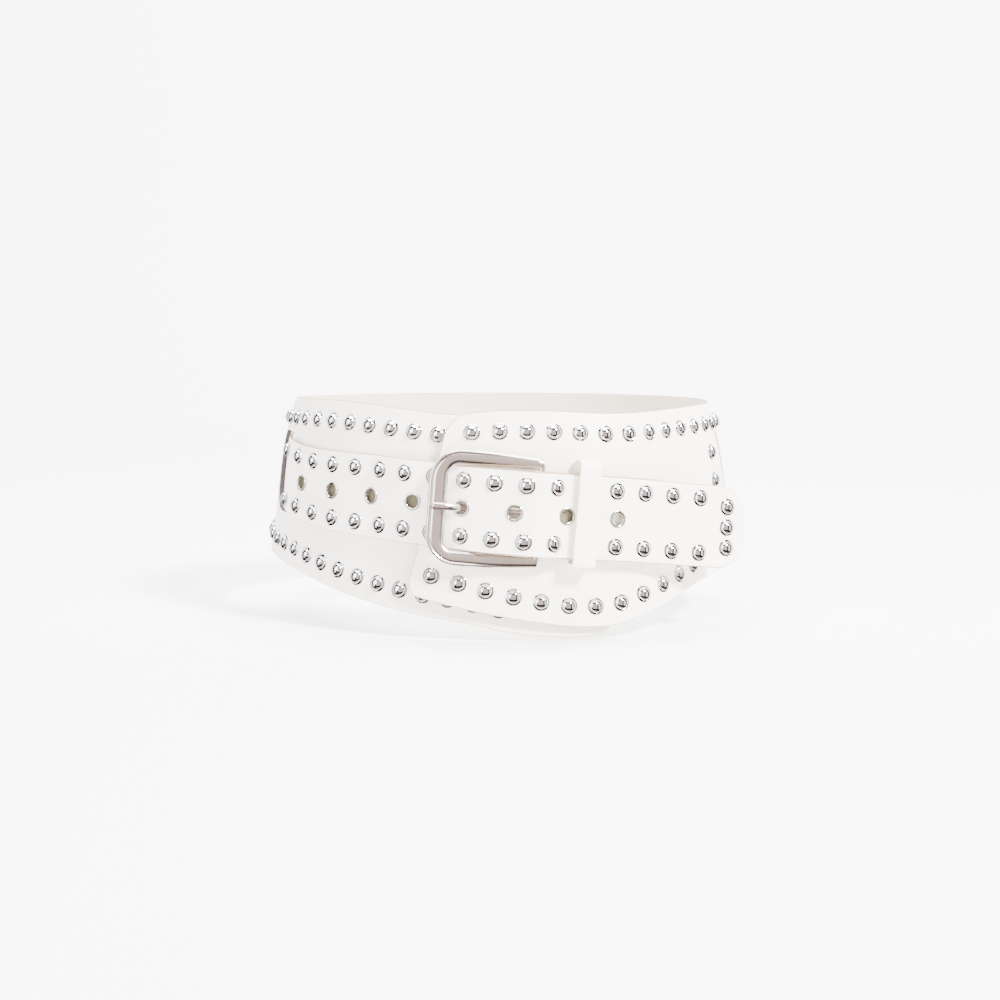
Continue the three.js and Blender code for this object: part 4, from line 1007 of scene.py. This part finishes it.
def make_buckle_strap():
    """The short strap: from its sewn end, over the hinge bar and back underneath."""
    rims = rim_steps(STRAP_THICKNESS)
    start = np.concatenate([rims, np.linspace(rims[-1], BUCKLE_STRAP_CORNER, 5)[1:]])
    body_end = (BUCKLE_STRAP_END_ANGLE - BAR_ANGLE - FOLD_START_ANGLE) * FRONT_PER_DEGREE
    body = np.concatenate([start, np.linspace(start[-1], body_end, 30)[1:]])
    fold = np.linspace(0, math.pi, 13) + math.pi / 2
    flap = np.linspace(0, FLAP_LENGTH, 9)[1:]
    end_rims = FLAP_LENGTH - rims[::-1]
    flap = np.concatenate([flap[flap < end_rims[0]], end_rims])
    half = STRAP_WIDTH / 2
    inner = np.linspace(-1, 1, 21)

    def across_of(limit):
        return np.concatenate([-limit + rims[:-1], (limit - rims[-1]) * inner, (limit - rims[:-1])[::-1]])

    rows, distances, places = [], [], []

    def on_band(angle, lift, flip):
        def place(across, off):
            tilt = strap_tilt(min(angle, STRAP_LEAVE_ANGLE))
            level = strap_height(angle) + across * np.cos(tilt)
            return on_waist(angle + across * np.sin(tilt) / FRONT_PER_DEGREE, level, lift + flip * off)

        return place

    def round_bar(turn):
        def place(across, off):
            radius = FOLD_RADIUS + off
            points = np.stack([radius * math.cos(turn), across, radius * math.sin(turn)], axis=-1)
            return placed(points, BUCKLE_BAR, BUCKLE_AXES)

        return place

    for run in body:
        angle = BUCKLE_STRAP_END_ANGLE - run / FRONT_PER_DEGREE
        across = across_of(half - float(corner_drop(run, BUCKLE_STRAP_CORNER)))
        rows.append(across)
        distances.append(corner_distance(half - np.abs(across), run, BUCKLE_STRAP_CORNER))
        places.append(on_band(angle, float(buckle_strap_lift(angle)), 1))
    for turn in fold:
        across = across_of(half)
        rows.append(across)
        distances.append(half - np.abs(across))
        places.append(round_bar(turn))
    for run in flap:
        across = across_of(half)
        rows.append(across)
        distances.append(np.minimum(half - np.abs(across), FLAP_LENGTH - run))
        places.append(on_band(BAR_ANGLE + run / FRONT_PER_DEGREE, BAR_LIFT - FOLD_RADIUS, -1))
    distance = np.maximum(np.array(distances), 0)

    def place_all(along, across, off):
        return np.array([places[i](across[i], off[i]) for i in range(len(places))])

    across = np.array(rows)
    strap = leather_sheet("short_strap_leather", place_all, None, across, distance, STRAP_THICKNESS)
    reach = HINGE_BAR_RADIUS + REST_GAP + PRONG_EYE_WALL + LOOSE_GAP
    low, high = -FOLD_RADIUS - STRAP_THICKNESS, reach
    side = PRONG_EYE_WIDTH / 2 + LOOSE_GAP
    tall = 2 * FOLD_RADIUS
    rings = []
    for x in (low, high):
        ring = np.array([(x, -side, -tall), (x, side, -tall), (x, side, tall), (x, -side, tall)])
        rings.append(placed(ring, BUCKLE_BAR, BUCKLE_AXES))
    vertices, faces = loft(rings)
    cut_away(strap, make_piece("prong_slot_cutter", vertices, faces, [RAW_EDGE]))
    stands_for(strap, "ivory_leather", "buckle_strap")


def make_keeper():
    """The keeper: a flat leather loop with rounded edges, bent to the waist."""
    low = LAP_TOP + REST_GAP
    high = STRAP_AT_KEEPER + HALF_STRAP + STUD_HEIGHT + REST_GAP + LOOSE_GAP + KEEPER_THICKNESS
    half_t = KEEPER_THICKNESS / 2
    corner = KEEPER_CORNER - half_t
    half_height = KEEPER_HEIGHT / 2 - half_t
    span = half_height - corner
    low, high = low + half_t, high - half_t
    corners = [
        (span, low + corner, -0.5),
        (span, high - corner, 0.0),
        (-span, high - corner, 0.5),
        (-span, low + corner, 1.0),
    ]
    path = []
    for index, (x, y, start) in enumerate(corners):
        for step in np.linspace(0, 0.5, 8):
            turn = (start + step) * math.pi
            out_x, out_y = math.cos(turn), math.sin(turn)
            path.append((x + corner * out_x, y + corner * out_y, out_x, out_y))
        if index == 1:
            path += [(x_at, high, 0.0, 1.0) for x_at in span * np.linspace(1, -1, 26)[1:-1]]
        if index == 3:
            path += [(x_at, low, 0.0, -1.0) for x_at in span * np.linspace(-1, 1, 26)[1:-1]]
    turns = np.linspace(0, 2 * math.pi, 28, endpoint=False)
    side = np.sign(np.cos(turns)) * np.abs(np.cos(turns)) ** 0.22 * KEEPER_WIDTH / 2
    thick = np.sign(np.sin(turns)) * np.abs(np.sin(turns)) ** 0.75 * half_t
    tilt = float(strap_tilt(KEEPER_ANGLE)) + math.radians(KEEPER_LEAN)
    per_degree = float(mm_per_degree(KEEPER_ANGLE, 0, STRAP_AT_KEEPER))
    centre = float(strap_height(KEEPER_ANGLE))
    rings = []
    for x, y, out_x, out_y in path:
        across, lift = x + thick * out_x + KEEPER_RISE, y + thick * out_y
        angle = KEEPER_ANGLE + (side * math.cos(tilt) + across * math.sin(tilt)) / per_degree
        rings.append(on_waist(angle, centre + across * math.cos(tilt) - side * math.sin(tilt), lift))
    vertices, faces = loft(rings, closed=True)
    keeper = make_piece("keeper_leather", vertices, faces, [IVORY])
    stands_for(keeper, "ivory_leather", "strap_keeper")


make_band()
make_band_studs()
make_strap()
make_strap_studs()
make_eyelets()
make_buckle_strap()
make_keeper()
make_frame()
make_prong()


# Stage: pale floor with a rising back, soft lights, camera

FLOOR_LEVEL = -54.0
FLOOR_HALF = 3000.0
SWEEP_START = 900.0
SWEEP_RADIUS = 600.0
WORLD_LEVEL = 2.6
# Sizes of the hood as parts of a direction of length one
HOOD_HALF_WIDTH = 0.76
HOOD_HALF_HEIGHT = 0.68
HOOD_MIDDLE = 0.14
# Camera: metres, and degrees that it looks down
CAMERA_LENS = 73.66
CAMERA_SIDE = -0.001
CAMERA_REACH = 1.065
CAMERA_TIP_DOWN = 6.5


def make_floor():
    """Matt painted board, swept up behind: plain, pale, a little uneven in tone."""
    material, tree, shader, place = start_material("pale_painted_board")
    noise = {"Scale": per_metre(300), "Detail": 2.0}
    patches = add_node(tree, "ShaderNodeTexNoise", noise, {"Vector": place})
    shades = {"data_type": "RGBA", 6: linear("#F6F6F7"), 7: linear("#F3F3F5")}
    tint = add_node(tree, "ShaderNodeMix", shades, {0: patches.outputs[0]})
    tree.links.new(tint.outputs[2], shader.inputs["Base Color"])
    shader.inputs["Roughness"].default_value = 0.85
    sweep = [(y, FLOOR_LEVEL) for y in (-FLOOR_HALF, 0.0, SWEEP_START)]
    for turn in np.linspace(0, math.pi / 2, 13)[1:]:
        rise = SWEEP_RADIUS * (1 - math.cos(turn))
        sweep.append((SWEEP_START + SWEEP_RADIUS * math.sin(turn), FLOOR_LEVEL + rise))
    sweep.append((SWEEP_START + SWEEP_RADIUS, FLOOR_LEVEL + FLOOR_HALF))
    vertices = [(x, y, z) for y, z in sweep for x in (-FLOOR_HALF, FLOOR_HALF)]
    faces = [(2 * i, 2 * i + 1, 2 * i + 3, 2 * i + 2) for i in range(len(sweep) - 1)]
    floor = make_piece("pale_floor", vertices, faces, [material])
    # Left out of the metal's reflections, where it would fill every dome's lower half with white
    floor.visible_glossy = False


def add_light(name, place, size, energy, colour, target=(0, 0, 0)):
    data = bpy.data.lights.new(name, "AREA")
    data.shape = "RECTANGLE"
    data.size, data.size_y = size
    data.energy = energy
    data.color = linear(colour)[:3]
    lamp = bpy.data.objects.new(name, data)
    lamp.location = place
    aim = Vector(target) - Vector(place)
    lamp.rotation_euler = aim.to_track_quat("-Z", "Y").to_euler()
    bpy.context.scene.collection.objects.link(lamp)


def make_world():
    """A studio round the belt: bright walls with a dark band low down and a dark curtain beside
    the belt, and in front a grey square hood with a dark border. Polished domes mirror them as
    their dark crescents, dark outlines and grey middles."""
    world = bpy.data.worlds.new("soft_studio")
    world.use_nodes = True
    tree = world.node_tree
    way = add_node(tree, "ShaderNodeTexCoord").outputs["Generated"]
    parts = add_node(tree, "ShaderNodeSeparateXYZ", None, {0: way}).outputs

    def ramp(source, low, high, stops):
        """A colour that changes along a value between low and high, at (value, colour) stops."""
        share = add_node(tree, "ShaderNodeMapRange", {1: low, 2: high}, {0: source}).outputs[0]
        made = add_node(tree, "ShaderNodeValToRGB", None, {0: share})
        elements = made.color_ramp.elements
        for index, (at, colour) in enumerate(stops):
            part = (at - low) / (high - low)
            element = elements[index] if index < 2 else elements.new(part)
            element.position = part
            element.color = linear(colour)
        return made.outputs[0]

    def math_of(operation, first, second):
        made = add_node(tree, "ShaderNodeMath", {"operation": operation}, {0: first})
        if isinstance(second, float):
            made.inputs[1].default_value = second
        else:
            tree.links.new(second, made.inputs[1])
        return made.outputs[0]

    height_stops = [
        (-1.0, "#B9AFAA"), (-0.86, "#A89C96"), (-0.76, "#2A211F"), (-0.5, "#2A211F"), (-0.4, "#FFFFFF"),
        (1.0, "#FFFFFF"),
    ]
    walls = ramp(parts["Z"], -1.0, 1.0, height_stops)
    curtain_stops = [(-0.18, "#FFFFFF"), (-0.12, "#1C1614"), (0.28, "#1C1614"), (0.36, "#FFFFFF")]
    curtain = ramp(parts["Y"], -1.0, 1.0, curtain_stops)
    darkened = {"data_type": "RGBA", "blend_type": "MULTIPLY", 0: 1.0}
    walls = add_node(tree, "ShaderNodeMix", darkened, {6: walls, 7: curtain}).outputs[2]
    aside = math_of("DIVIDE", math_of("ABSOLUTE", parts["X"], 0.0), HOOD_HALF_WIDTH)
    raised = math_of("ADD", parts["Z"], -HOOD_MIDDLE)
    off_level = math_of("DIVIDE", math_of("ABSOLUTE", raised, 0.0), HOOD_HALF_HEIGHT)
    square = math_of("MAXIMUM", aside, off_level)
    behind = math_of("MULTIPLY", math_of("GREATER_THAN", parts["Y"], 0.0), 9.0)
    from_hood = math_of("ADD", square, behind)
    hood_stops = [(0.0, "#BDAFAA"), (0.7, "#BDAFAA"), (0.76, "#1C1614"), (0.97, "#1C1614")]
    hood = ramp(from_hood, 0.0, 2.0, hood_stops)
    outside = ramp(from_hood, 0.0, 2.0, [(1.0, "#000000"), (1.06, "#FFFFFF")])
    layers = {0: outside, 6: hood, 7: walls}
    studio = add_node(tree, "ShaderNodeMix", {"data_type": "RGBA"}, layers).outputs[2]
    seen = add_node(tree, "ShaderNodeLightPath").outputs["Is Camera Ray"]
    shown = {"data_type": "RGBA", 7: linear("#FBF9F8")}
    colour = add_node(tree, "ShaderNodeMix", shown, {0: seen, 6: studio}).outputs[2]
    tree.links.new(colour, tree.nodes["Background"].inputs["Color"])
    tree.nodes["Background"].inputs["Strength"].default_value = WORLD_LEVEL
    bpy.context.scene.world = world


def make_camera():
    data = bpy.data.cameras.new("camera")
    data.lens = CAMERA_LENS
    data.sensor_width = 36.0
    camera = bpy.data.objects.new("camera", data)
    tip_down = math.radians(CAMERA_TIP_DOWN)
    back, rise = CAMERA_REACH * math.cos(tip_down), CAMERA_REACH * math.sin(tip_down)
    camera.location = (CAMERA_SIDE, -back, rise)
    camera.rotation_euler = (math.pi / 2 - tip_down, 0, 0)
    bpy.context.scene.collection.objects.link(camera)
    bpy.context.scene.camera = camera


make_floor()
make_world()
make_camera()
add_light("key", (1.2, -1.1, 1.4), (0.4, 0.4), 280, "#FFFCF8")
add_light("fill", (-1.3, -1.1, 0.6), (1.0, 1.4), 40, "#FAFBFF")
add_light("top", (0.0, 0.1, 1.6), (1.4, 1.4), 120, "#FFFFFF")
add_light("sweep", (0.0, 0.5, 1.5), (1.6, 0.5), 70, "#FFFFFF", (0.0, 1.5, 0.1))

bpy.context.view_layer.update()
